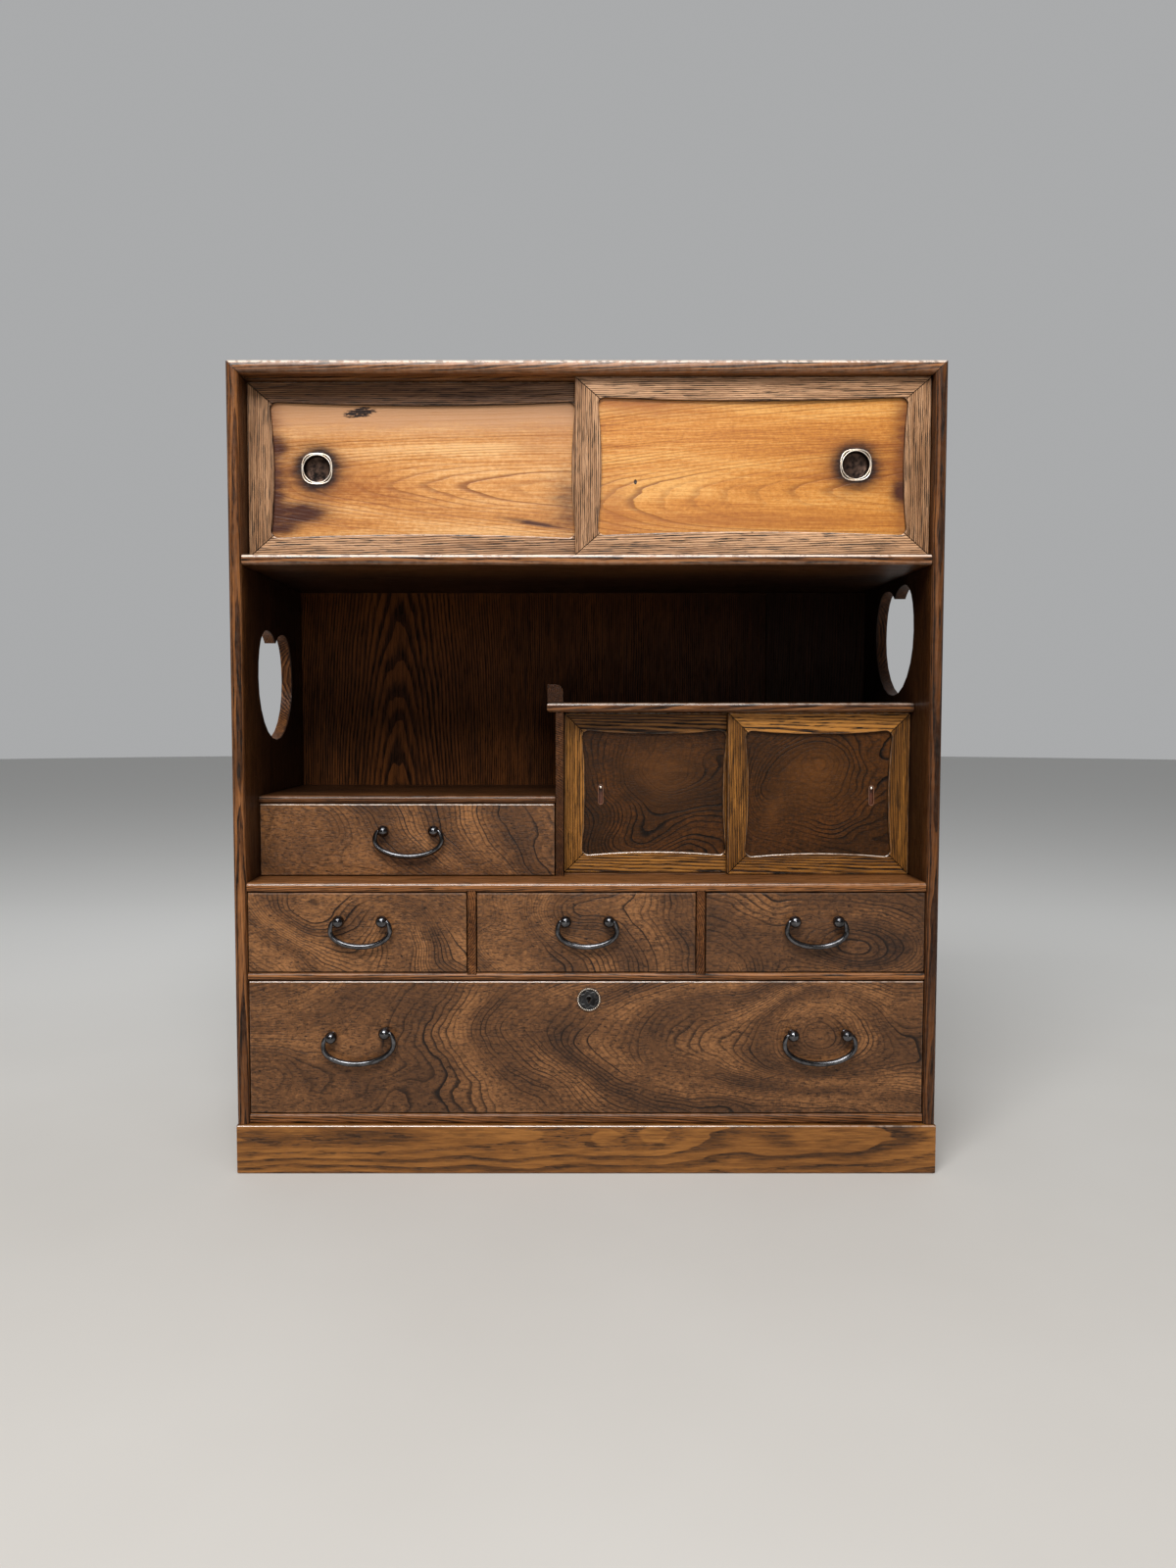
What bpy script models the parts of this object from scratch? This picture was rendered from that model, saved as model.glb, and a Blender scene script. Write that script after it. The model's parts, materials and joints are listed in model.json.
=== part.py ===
"""Tea cabinet: a low east asian cabinet with by-passing sliding doors, an open niche and five drawers.

Metres, +Z up, front towards -Y. The origin is under the middle of the whole cabinet, on the floor.
"""
import math

import bmesh
import bpy
from mathutils import Vector

# Fits
SEAT = 0.0003              # gap between pieces that touch
RUN = 0.0005               # side play of a door or drawer in its opening
OVERSHOOT = 0.004          # how far a cutter runs past the face it opens

# Carcass boards
WIDTH = 0.730
DEPTH = 0.275
BOARD = 0.013              # side and top boards
BACK_BOARD = 0.009
BACK_REBATE = 0.006        # how far the back boards reach into the sides and the top
BACK_SEAM = 0.229          # the joint between the two back boards, right of the middle
BACK_LAP = 0.008
EDGE_ROUND = 0.0055        # rounding of the front edges of the sides and the top
SHELF_ROUND = 0.0035       # rounding of the front edges of the shelves
SHELF_SETBACK = 0.002      # shelves' front edges behind the sides' front edges
SHELF_HOUSING = 0.004      # how far a shelf reaches into a side board
TONGUE_SETBACK = 0.012     # the housing stops this far behind the shelf's front edge
WALL_HOUSING = 0.0025      # how far an upright reaches into a shelf

# Heights, from the floor up
PLINTH_HEIGHT = 0.051
PLINTH_BOARD = 0.013
PLINTH_PROUD = 0.0025      # the plinth stands this far in front of the sides
PLINTH_ROUND = 0.002
BOTTOM_BOARD = 0.0105
LARGE_OPENING = 0.141
LOWER_SHELF = 0.008
SMALL_OPENING = 0.0845
MIDDLE_SHELF = 0.0095
CUPBOARD_OPENING = 0.177
CUPBOARD_TOP = 0.010
NICHE_OPENING = 0.1395     # from the top of the cupboard to the upper shelf
UPPER_SHELF = 0.0105
DOOR_OPENING = 0.1815
SHELF_DRAWER_OPENING = 0.079
DRAWER_SHELF = 0.008

# The recessed drawer and cupboard between the middle shelf and the niche
INNER_SETBACK = 0.054      # front edges of the drawer shelf and of the cupboard's top
DRAWER_BAY = 0.3195        # inside width of the drawer's place at the left
CUPBOARD_WALL = 0.009
WALL_SETBACK = 0.003       # the wall's edge behind the cupboard top's edge
TOP_OVERHANG = 0.0095      # the cupboard's top beyond its wall
STOP_WIDTH = 0.017
STOP_HEIGHT = 0.0195
STOP_INSET = 0.0008
STOP_ROUND = 0.008
DIVIDER = 0.009
DIVIDER_SETBACK = 0.003

# Cut-out in each side board
HOLE_WIDTH = 0.150
HOLE_MARGIN = 0.009        # wood left above and below it in the right niche
HOLE_CUSP = 0.012          # depth of the point that hangs down at its top
LOBE_PLACE = 0.5           # top of each lobe, as a share of the half width
LOBE_PULL = 0.27           # how flat the lobe is at its top
SIDE_PLACE = 0.12          # widest place, as a share of the half height
SIDE_PULL = 0.60           # how straight the sides are
FOOT_PULL = 0.55           # how flat the bottom is
CUSP_PULL = 0.11           # how hollow the flanks of the point are
CUSP_SHARE = 0.35          # how far up the flanks turn

# Sliding doors
DOOR_GAP = 0.0025          # between the front and the rear door
DOOR_PLAY = 0.0008         # above and below the door's body
TONGUE = 0.008             # thickness of the tongues that run in the grooves
GROOVE_PLAY = 0.0005
HEAD_GROOVE = 0.005
SILL_GROOVE = 0.003
HEAD_LIFT = 0.0012         # room above the head tongue
LIP = 0.004                # the frame's face in front of its panel
PANEL = 0.006
PANEL_REBATE = 0.005
UPPER_DOOR = 0.0155
UPPER_DOOR_SETBACK = 0.013
UPPER_STILE = 0.0235
UPPER_RAIL = 0.0205
LOWER_DOOR = 0.0135
LOWER_DOOR_SETBACK = 0.012  # behind the cupboard top's edge
LOWER_STILE = 0.0195
LOWER_RAIL = 0.0195
CORNER_RADIUS = 0.007
FRAME_ROUND = 0.0012
BOW = 0.0035               # how far each frame member swells inwards at its middle

# Finger cups of the upper doors
LEFT_CUP_FROM_EDGE = 0.0716  # from the door's outer edge
RIGHT_CUP_FROM_EDGE = 0.0757
CUP_RISE = 0.002           # above the door's middle
CUP_RADIUS = 0.0132
CUP_WALL = 0.0008
CUP_DEPTH = 0.0072
CUP_LIP = 0.0016           # width of the raised ring round the cup
CUP_LIP_RISE = 0.0005
CUP_PLATE = 0.0008
CUP_PLATE_HALF = 0.0164
CUP_SQUARENESS = 2.7       # exponent of the plate's rounded square

# Slot pulls of the lower doors
SLOT_WIDTH = 0.0055
SLOT_HEIGHT = 0.022
SLOT_FROM_EDGE = 0.0405
SLOT_BELOW_MIDDLE = 0.0022

# Drawers
DRAWER_SETBACK = 0.003     # faces behind the sides' front edges
INNER_DRAWER_SETBACK = 0.0015  # the recessed drawer's face behind its shelf's edge
DRAWER_FRONT = 0.013
FRONT_GAP = 0.001
FRONT_ROUND = 0.0012
BOX_WALL = 0.007
BOX_FLOOR = 0.005
BOX_BELOW_FRONT = 0.005    # the drawer's sides stop below the top of its front
BOX_BACK_ROOM = 0.004

# Bail handles
BALL_RADIUS = 0.0063
POST_STAND = 0.0081        # ball centre in front of the drawer's face
NECK_RADIUS = 0.0032
COLLAR_RADIUS = 0.0048
COLLAR = 0.0014
SHANK_RADIUS = 0.0022
SHANK_TAIL = 0.002         # end of the shank behind the drawer's front
WIRE_RADIUS = 0.0029
WIRE_TAPER = 0.62          # the wire's ends against its middle
WIRE_BORE_PLAY = 0.0004
BORE_MOUTH = 0.0042        # radius of the flared bore at the ball's surface
PIN_PAST_CENTRE = 0.0008
HOOK_START = 0.0045        # where the wire starts to bend, outside the ball's centre
HOOK_DROP = 0.0095         # the wire's widest place below the ball's centre
HANDLE_BELOW_TOP = 0.0285  # ball centres below the top of a small front
SMALL_PITCH = 0.045
SMALL_DROP = 0.029
SMALL_HOOK = 0.0082        # the wire's widest place outside the ball's centre
SHELF_PITCH = 0.054
SHELF_DROP = 0.0302
SHELF_HOOK = 0.0089
LARGE_PITCH = 0.0555
LARGE_DROP = 0.0325
LARGE_HOOK = 0.0089
LARGE_HANDLE_BELOW_TOP = 0.0551
LARGE_LEFT_SHARE = 0.32456   # the large drawer's handles from its middle, as shares of the width
LARGE_RIGHT_SHARE = 0.33195
SHELF_HANDLE_SHIFT = 0.0020  # the other handles, right of their drawers' middles
LEFT_HANDLE_SHIFT = 0.0042
MIDDLE_HANDLE_SHIFT = 0.0009
RIGHT_HANDLE_SHIFT = -0.0001
LEFT_HANDLE_TILT = math.radians(4.4)  # the large drawer's left handle hangs out of level

# Lock of the large drawer
PLATE_RADIUS = 0.0122
PLATE_THICK = 0.0022
PLATE_RIM = 0.0016
PLATE_DISH = 0.0007
KEY_BELOW_TOP = 0.0185
KEY_SHIFT = 0.0027         # right of the drawer's middle
KEYHOLE_WIDTH = 0.0048
KEYHOLE_HEIGHT = 0.0072
LOCK_WIDTH = 0.052
LOCK_HEIGHT = 0.040
LOCK_DEPTH = 0.0125
LOCK_MORTISE = 0.005       # how far the lock is let into the drawer's front
BOLT_WIDTH = 0.022
BOLT_THICK = 0.005
BOLT_HEIGHT = 0.030
BOLT_THROW = 0.0055
BOLT_PLAY = 0.0005

# Shape of curves
ROUND_PULL = 0.552         # a quarter circle's Bezier handle, as a share of its radius
KEYHOLE_RISE = 0.42        # the keyhole's top above the plate's middle, as a share of its height

# Facets
ROUND_STEPS = 4
CURVE_STEPS = 6
TURN_STEPS = 14
CUP_STEPS = 28
BALL_STEPS = 7
HOOK_STEPS = 6
SWEEP_STEPS = 16

# Worked out from the sizes above
HALF = WIDTH / 2
INNER = HALF - BOARD
BACK_FACE = DEPTH - BACK_BOARD
BOTTOM_TOP = PLINTH_HEIGHT + SEAT + BOTTOM_BOARD
LOWER_UNDER = BOTTOM_TOP + LARGE_OPENING
LOWER_TOP = LOWER_UNDER + LOWER_SHELF
MIDDLE_UNDER = LOWER_TOP + SMALL_OPENING
MIDDLE_TOP = MIDDLE_UNDER + MIDDLE_SHELF
CUPBOARD_UNDER = MIDDLE_TOP + CUPBOARD_OPENING
NICHE_FLOOR = CUPBOARD_UNDER + CUPBOARD_TOP
UPPER_UNDER = NICHE_FLOOR + NICHE_OPENING
UPPER_TOP = UPPER_UNDER + UPPER_SHELF
HEAD_UNDER = UPPER_TOP + DOOR_OPENING
HEIGHT = HEAD_UNDER + BOARD
DRAWER_SHELF_UNDER = MIDDLE_TOP + SHELF_DRAWER_OPENING
DRAWER_SHELF_TOP = DRAWER_SHELF_UNDER + DRAWER_SHELF
WALL_LEFT = -INNER + DRAWER_BAY
WALL_RIGHT = WALL_LEFT + CUPBOARD_WALL
BAY = (2 * INNER - 2 * DIVIDER) / 3
LARGE_LEFT_PLACE = WIDTH * LARGE_LEFT_SHARE
LARGE_RIGHT_PLACE = WIDTH * LARGE_RIGHT_SHARE
HANDLE_REACH = POST_STAND + BALL_RADIUS - DRAWER_SETBACK
FRONT_Y = (HANDLE_REACH - DEPTH) / 2
UPPER_PITCH = UPPER_DOOR + DOOR_GAP
LOWER_PITCH = LOWER_DOOR + DOOR_GAP

FACES = {"left": Vector((-1, 0, 0)), "right": Vector((1, 0, 0)), "front": Vector((0, -1, 0)),
         "back": Vector((0, 1, 0)), "bottom": Vector((0, 0, -1)), "top": Vector((0, 0, 1))}
FRONT_EDGES = [("front", side) for side in ("left", "right", "bottom", "top")]


def clear_scene():
    for old in list(bpy.data.objects):
        bpy.data.objects.remove(old)


def new_collection(name):
    collection = bpy.data.collections.new(name)
    bpy.context.scene.collection.children.link(collection)
    return collection


def finish(name, colour, roughness, metallic=0.0):
    material = bpy.data.materials.new(name)
    material.use_nodes = True
    shader = material.node_tree.nodes["Principled BSDF"]
    shader.inputs["Base Color"].default_value = (*colour, 1.0)
    shader.inputs["Roughness"].default_value = roughness
    shader.inputs["Metallic"].default_value = metallic
    material.diffuse_color = (*colour, 1.0)
    return material


clear_scene()
PARTS = new_collection("tea_cabinet")
CUTTERS = new_collection("cutters")
CARCASS_WOOD = finish("stained_carcass", (0.22, 0.11, 0.05), 0.4)
BACK_WOOD = finish("dark_back", (0.05, 0.03, 0.018), 0.6)
FRAME_WOOD = finish("door_frame", (0.25, 0.14, 0.07), 0.4)
PANEL_WOOD = finish("golden_panel", (0.56, 0.27, 0.08), 0.35)
BURL_WOOD = finish("burl_veneer", (0.14, 0.07, 0.03), 0.3)
BOX_WOOD = finish("pale_drawer_wood", (0.48, 0.33, 0.19), 0.6)
IRON = finish("polished_iron", (0.03, 0.03, 0.032), 0.25, 1.0)
CUP_METAL = finish("pale_rim_metal", (0.62, 0.57, 0.48), 0.3, 1.0)


def joint_empty(name, x, depth, z):
    """Empty that carries the pieces of one moving body."""
    empty = bpy.data.objects.new(name, None)
    empty.location = (x, FRONT_Y + depth, z)
    PARTS.objects.link(empty)
    return empty


def place(obj, centre, turn=(0, 0, 0), carrier=None):
    """Put an object at a world place, riding on a carrier where it moves."""
    obj.location = Vector(centre)
    obj.rotation_euler = turn
    if carrier is not None:
        obj.parent = carrier
        obj.location = Vector(centre) - carrier.location


def add_part(name, mesh, material, centre, turn=(0, 0, 0), carrier=None):
    mesh.materials.append(material)
    part = bpy.data.objects.new(name, mesh)
    PARTS.objects.link(part)
    place(part, centre, turn, carrier)
    return part


def add_cutter(name, mesh, centre, turn=(0, 0, 0)):
    cutter = bpy.data.objects.new(name, mesh)
    CUTTERS.objects.link(cutter)
    place(cutter, centre, turn)
    cutter.hide_render = True
    cutter.display_type = "WIRE"
    return cutter


def combine(part, tool, operation="DIFFERENCE"):
    boolean = part.modifiers.new(tool.name, "BOOLEAN")
    boolean.operation = operation
    boolean.solver = "EXACT"
    boolean.object = tool


def on_face(vert, face):
    return vert.co.dot(FACES[face]) > 0


def box_mesh(name, size, rounded=(), radius=0.0, slid=()):
    """Box round its own middle. An edge, named by its two faces, is rounded, or slid aside for a mitre."""
    shape = bmesh.new()
    bmesh.ops.create_cube(shape, size=1.0)
    marked = [edge for edge in shape.edges for pair in rounded
              if all(on_face(vert, face) for vert in edge.verts for face in pair)]
    moves = [(vert, Vector(move)) for *pair, move in slid for vert in shape.verts
             if all(on_face(vert, face) for face in pair)]
    bmesh.ops.scale(shape, vec=size, verts=shape.verts)
    for vert, move in moves:
        vert.co += move
    if marked:
        bmesh.ops.bevel(shape, geom=marked, offset=radius, offset_type="OFFSET", segments=ROUND_STEPS,
                        profile=0.5, affect="EDGES")
    mesh = bpy.data.meshes.new(name)
    shape.to_mesh(mesh)
    shape.free()
    return mesh


def corners(low, high):
    """Middle and size of a box given as x, depth behind the front and z."""
    low = Vector((low[0], FRONT_Y + low[1], low[2]))
    high = Vector((high[0], FRONT_Y + high[1], high[2]))
    return (low + high) / 2, high - low


def board(name, low, high, material, rounded=(), radius=0.0, slid=(), carrier=None):
    centre, size = corners(low, high)
    return add_part(name, box_mesh(name, size, rounded, radius, slid), material, centre, carrier=carrier)


def cut_box(part, name, low, high):
    centre, size = corners(low, high)
    combine(part, add_cutter(name, box_mesh(name, size), centre))


def join_box(part, name, low, high):
    centre, size = corners(low, high)
    combine(part, add_cutter(name, box_mesh(name, size), centre), "UNION")


def cut_cylinder(part, name, radius, length, centre, steps):
    mesh = cone_mesh(name, radius, radius, length, steps)
    combine(part, add_cutter(name, mesh, centre, FACING_FRONT))


def cone_mesh(name, radius_low, radius_high, length, steps):
    shape = bmesh.new()
    bmesh.ops.create_cone(shape, cap_ends=True, segments=steps, radius1=radius_low, radius2=radius_high,
                          depth=length)
    mesh = bpy.data.meshes.new(name)
    shape.to_mesh(mesh)
    shape.free()
    return mesh


def mesh_from_curve(name, curve):
    """Plain closed mesh of a curve, with its caps welded."""
    guide = bpy.data.objects.new(name, curve)
    CUTTERS.objects.link(guide)
    evaluated = guide.evaluated_get(bpy.context.evaluated_depsgraph_get())
    mesh = bpy.data.meshes.new_from_object(evaluated)
    bpy.data.objects.remove(guide)
    shape = bmesh.new()
    shape.from_mesh(mesh)
    bmesh.ops.remove_doubles(shape, verts=shape.verts, dist=SEAT / 100)
    bmesh.ops.recalc_face_normals(shape, faces=shape.faces)
    shape.to_mesh(mesh)
    shape.free()
    mesh.materials.clear()
    mesh.name = name
    return mesh


def outline_curve(name, thickness):
    curve = bpy.data.curves.new(name, "CURVE")
    curve.dimensions = "2D"
    curve.fill_mode = "BOTH"
    curve.extrude = thickness / 2
    curve.resolution_u = CURVE_STEPS
    return curve


def straight_outline(name, points, thickness):
    """Flat outline with straight edges, as a solid round its own plane."""
    curve = outline_curve(name, thickness)
    spline = curve.splines.new("POLY")
    spline.points.add(len(points) - 1)
    for knot, (x, y) in zip(spline.points, points):
        knot.co = (x, y, 0, 1)
    spline.use_cyclic_u = True
    return mesh_from_curve(name, curve)


def curved_outline(name, knots, thickness):
    """Flat outline of Bezier knots, each a point with the handles before and after it."""
    curve = outline_curve(name, thickness)
    spline = curve.splines.new("BEZIER")
    spline.bezier_points.add(len(knots) - 1)
    for knot, (point, before, after) in zip(spline.bezier_points, knots):
        knot.handle_left_type = "FREE"
        knot.handle_right_type = "FREE"
        knot.co = (*point, 0)
        knot.handle_left = (*before, 0)
        knot.handle_right = (*after, 0)
    spline.use_cyclic_u = True
    return mesh_from_curve(name, curve)


def turned_part(name, profile, material, centre, turn, steps, carrier=None):
    """Turned solid: the profile holds radius and height, from its top down its outer side."""
    mesh = bpy.data.meshes.new(name)
    edges = [(first, first + 1) for first in range(len(profile) - 1)]
    mesh.from_pydata([(radius, 0, height) for radius, height in profile], edges, [])
    part = add_part(name, mesh, material, centre, turn, carrier)
    screw = part.modifiers.new("turned", "SCREW")
    screw.axis = "Z"
    screw.steps = steps
    screw.render_steps = steps
    screw.use_merge_vertices = True
    screw.merge_threshold = SEAT / 100
    screw.use_smooth_shade = True
    return part


FACING_FRONT = (math.pi / 2, 0, 0)             # a flat outline's x and y become X and Z
FACING_SIDE = (math.pi / 2, 0, math.pi / 2)    # a flat outline's x and y become Y and Z


# Side boards, top, back and plinth

def hole_outline(height):
    """Rounded apple outline with a point hanging down at its top, round its own middle."""
    half = HOLE_WIDTH / 2
    top = height / 2
    lobe = half * LOBE_PLACE
    reach = half * LOBE_PULL
    widest = top * SIDE_PLACE
    tall = top * SIDE_PULL
    flat = half * FOOT_PULL
    right = [((lobe, top), (lobe - reach, top), (lobe + reach, top)),
             ((half, widest), (half, widest + tall), (half, widest - tall))]
    foot = [((0, -top), (flat, -top), (-flat, -top))]
    left = [((-x, y), (-after_x, after_y), (-before_x, before_y))
            for (x, y), (before_x, before_y), (after_x, after_y) in reversed(right)]
    flank = half * CUSP_PULL
    turn = top - HOLE_CUSP * CUSP_SHARE
    cusp = [((0, top - HOLE_CUSP), (-flank, turn), (flank, turn))]
    return cusp + right + foot + left


def house_shelf(side_part, sign, name, front, low, high):
    """Stopped housing for a shelf's tongue in a side board."""
    near = sign * (INNER - OVERSHOOT)
    far = sign * (INNER + SHELF_HOUSING)
    cut_box(side_part, name, (min(near, far), front + TONGUE_SETBACK - SEAT, low - SEAT),
            (max(near, far), BACK_FACE + OVERSHOOT, high + SEAT))


def side_board(name, sign, hole_floor, shelves):
    near = sign * INNER
    far = sign * HALF
    inside = "right" if sign < 0 else "left"
    part = board(name, (min(near, far), 0, PLINTH_HEIGHT + SEAT), (max(near, far), DEPTH, HEIGHT),
                 CARCASS_WOOD, rounded=[("front", "left"), ("front", "right")], radius=EDGE_ROUND,
                 slid=[(inside, "top", (0, 0, -BOARD))])
    rebate_near = sign * (INNER - OVERSHOOT)
    rebate_far = sign * (INNER + BACK_REBATE)
    cut_box(part, name + "_rebate",
            (min(rebate_near, rebate_far), BACK_FACE, PLINTH_HEIGHT - OVERSHOOT),
            (max(rebate_near, rebate_far), DEPTH + OVERSHOOT, HEAD_UNDER + BACK_REBATE))
    for shelf_name, front, low, high in shelves:
        house_shelf(part, sign, f"{name}_{shelf_name}_housing", front, low, high)
    knots = hole_outline(NICHE_OPENING - 2 * HOLE_MARGIN)
    outline = curved_outline(name + "_hole", knots, BOARD + 2 * OVERSHOOT)
    middle = (sign * (INNER + HALF) / 2, FRONT_Y + DEPTH / 2, (hole_floor + UPPER_UNDER) / 2)
    combine(part, add_cutter(name + "_hole", outline, middle, FACING_SIDE))


def top_board():
    half = HALF - SEAT * math.sqrt(2)
    part = board("top_board", (-half, 0, HEAD_UNDER), (half, DEPTH, HEIGHT), CARCASS_WOOD,
                 rounded=[("front", "top"), ("front", "bottom")], radius=EDGE_ROUND,
                 slid=[("left", "bottom", (BOARD, 0, 0)), ("right", "bottom", (-BOARD, 0, 0))])
    reach = INNER + BACK_REBATE
    cut_box(part, "top_rebate", (-reach, BACK_FACE, HEAD_UNDER - OVERSHOOT),
            (reach, DEPTH + OVERSHOOT, HEAD_UNDER + BACK_REBATE))
    for face in (UPPER_DOOR_SETBACK, UPPER_DOOR_SETBACK + UPPER_PITCH):
        cut_groove(part, (-INNER + SEAT, INNER - SEAT), face, UPPER_DOOR, HEAD_UNDER, HEAD_GROOVE, -1)


def cut_groove(part, x_range, face, thickness, surface, deep, inward):
    """Door groove in a shelf: inward is -1 where the wood is above the surface and 1 where it is below."""
    middle = face + thickness / 2
    half = TONGUE / 2 + GROOVE_PLAY
    floor = surface - inward * deep
    mouth = surface + inward * OVERSHOOT
    cut_box(part, f"{part.name}_groove_{face:.3f}", (x_range[0], middle - half, min(floor, mouth)),
            (x_range[1], middle + half, max(floor, mouth)))


def back_boards():
    reach = INNER + BACK_REBATE - SEAT
    low = PLINTH_HEIGHT + SEAT
    high = HEAD_UNDER + BACK_REBATE - SEAT
    half = BACK_FACE + BACK_BOARD / 2
    wide = board("back_board_wide", (-reach, BACK_FACE + SEAT, low), (BACK_SEAM + BACK_LAP, DEPTH, high),
                 BACK_WOOD)
    cut_box(wide, "back_lap_wide", (BACK_SEAM, BACK_FACE - OVERSHOOT, low - OVERSHOOT),
            (BACK_SEAM + BACK_LAP + OVERSHOOT, half, high + OVERSHOOT))
    narrow = board("back_board_narrow", (BACK_SEAM + SEAT, BACK_FACE + SEAT, low), (reach, DEPTH, high),
                   BACK_WOOD)
    cut_box(narrow, "back_lap_narrow", (BACK_SEAM - OVERSHOOT, half - SEAT, low - OVERSHOOT),
            (BACK_SEAM + BACK_LAP + SEAT, DEPTH + OVERSHOOT, high + OVERSHOOT))


def plinth():
    front = -PLINTH_PROUD
    mitre = PLINTH_BOARD
    board("plinth_front", (-HALF, front, 0), (HALF, front + PLINTH_BOARD, PLINTH_HEIGHT), CARCASS_WOOD,
          rounded=[("front", "top")], radius=PLINTH_ROUND,
          slid=[("left", "back", (mitre, 0, 0)), ("right", "back", (-mitre, 0, 0))])
    start = front + SEAT * math.sqrt(2)
    board("plinth_left", (-HALF, start, 0), (-HALF + PLINTH_BOARD, DEPTH, PLINTH_HEIGHT), CARCASS_WOOD,
          slid=[("right", "front", (0, mitre, 0))])
    board("plinth_right", (HALF - PLINTH_BOARD, start, 0), (HALF, DEPTH, PLINTH_HEIGHT), CARCASS_WOOD,
          slid=[("left", "front", (0, mitre, 0))])
    span = HALF - PLINTH_BOARD - SEAT
    board("plinth_back", (-span, DEPTH - PLINTH_BOARD, 0), (span, DEPTH, PLINTH_HEIGHT), CARCASS_WOOD)


# Shelves and uprights

def shelf(name, front, low, high, left, right, left_tongue, right_tongue, rounded=()):
    """Shelf between two faces, with a stopped tongue into each piece that houses it."""
    start = left - left_tongue + SEAT
    end = right + right_tongue - SEAT
    part = board(name, (start, front, low), (end, BACK_FACE - SEAT, high), CARCASS_WOOD,
                 rounded=[("front", "top"), ("front", "bottom"), *rounded], radius=SHELF_ROUND)
    stop = front + TONGUE_SETBACK
    if left_tongue:
        cut_box(part, name + "_left_notch", (start - OVERSHOOT, front - OVERSHOOT, low - OVERSHOOT),
                (left + SEAT, stop, high + OVERSHOOT))
    if right_tongue:
        cut_box(part, name + "_right_notch", (right - SEAT, front - OVERSHOOT, low - OVERSHOOT),
                (end + OVERSHOOT, stop, high + OVERSHOOT))
    return part


def upright(name, left, thickness, front, low, high, below, above):
    """Upright board housed in the shelf below it and the shelf above it."""
    right = left + thickness
    foot = low - WALL_HOUSING
    head = high + WALL_HOUSING
    back = BACK_FACE - SEAT
    part = board(name, (left, front, foot + SEAT), (right, back, head - SEAT), CARCASS_WOOD,
                 rounded=[("front", "left"), ("front", "right")], radius=SHELF_ROUND / 2)
    housings = (("foot", foot, low + OVERSHOOT, below), ("head", high - OVERSHOOT, head, above))
    for housing, bottom, top, host in housings:
        cut_box(host, f"{name}_{housing}_housing", (left - SEAT, front - SEAT, bottom),
                (right + SEAT, back + OVERSHOOT, top))
    return part


def build_carcass():
    """Boards that don't move. Returns the shelf that the lock's bolt shoots into."""
    inner_door = INNER_SETBACK + LOWER_DOOR_SETBACK
    levels = [("bottom_board", PLINTH_HEIGHT + SEAT, BOTTOM_TOP), ("lower_shelf", LOWER_UNDER, LOWER_TOP),
              ("middle_shelf", MIDDLE_UNDER, MIDDLE_TOP), ("upper_shelf", UPPER_UNDER, UPPER_TOP)]
    boards = [shelf(name, SHELF_SETBACK, low, high, -INNER, INNER, SHELF_HOUSING, SHELF_HOUSING)
              for name, low, high in levels]
    lower, middle, upper = boards[1:]
    overhang = WALL_LEFT - TOP_OVERHANG
    cupboard = shelf("cupboard_top", INNER_SETBACK, CUPBOARD_UNDER, NICHE_FLOOR, overhang, INNER,
                     0, SHELF_HOUSING, rounded=[("left", "top"), ("left", "bottom")])
    wall = upright("cupboard_wall", WALL_LEFT, CUPBOARD_WALL, INNER_SETBACK + WALL_SETBACK,
                   MIDDLE_TOP, CUPBOARD_UNDER, middle, cupboard)
    shelf("drawer_shelf", INNER_SETBACK, DRAWER_SHELF_UNDER, DRAWER_SHELF_TOP, -INNER, WALL_LEFT,
          SHELF_HOUSING, WALL_HOUSING)
    cut_box(wall, "drawer_shelf_end_housing",
            (WALL_LEFT - OVERSHOOT, INNER_SETBACK + TONGUE_SETBACK - SEAT, DRAWER_SHELF_UNDER - SEAT),
            (WALL_LEFT + WALL_HOUSING, BACK_FACE + OVERSHOOT, DRAWER_SHELF_TOP + SEAT))
    stop_left = overhang + STOP_INSET
    board("brush_stop", (stop_left, INNER_SETBACK + STOP_INSET, NICHE_FLOOR + SEAT),
          (stop_left + STOP_WIDTH, BACK_FACE - SEAT, NICHE_FLOOR + STOP_HEIGHT), CARCASS_WOOD,
          rounded=[("right", "top")], radius=STOP_ROUND)
    for name, sign in (("drawer_divider_left", -1), ("drawer_divider_right", 1)):
        left = sign * (BAY + DIVIDER) / 2 - DIVIDER / 2
        upright(name, left, DIVIDER, DIVIDER_SETBACK, LOWER_TOP, MIDDLE_UNDER, lower, middle)
    for face in (UPPER_DOOR_SETBACK, UPPER_DOOR_SETBACK + UPPER_PITCH):
        cut_groove(upper, (-INNER + SEAT, INNER - SEAT), face, UPPER_DOOR, UPPER_TOP, SILL_GROOVE, 1)
    cupboard_span = (WALL_RIGHT - CUPBOARD_WALL / 2, INNER - SEAT)
    for face in (inner_door, inner_door + LOWER_PITCH):
        cut_groove(middle, cupboard_span, face, LOWER_DOOR, MIDDLE_TOP, SILL_GROOVE, 1)
        cut_groove(cupboard, cupboard_span, face, LOWER_DOOR, CUPBOARD_UNDER, HEAD_GROOVE, -1)
    housed = [(name, SHELF_SETBACK, low, high) for name, low, high in levels]
    drawer_side = ("drawer_shelf", INNER_SETBACK, DRAWER_SHELF_UNDER, DRAWER_SHELF_TOP)
    cupboard_side = ("cupboard_top", INNER_SETBACK, CUPBOARD_UNDER, NICHE_FLOOR)
    side_board("left_side", -1, DRAWER_SHELF_TOP, [*housed, drawer_side])
    side_board("right_side", 1, NICHE_FLOOR, [*housed, cupboard_side])
    top_board()
    back_boards()
    plinth()
    return lower


# Sliding doors

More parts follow.
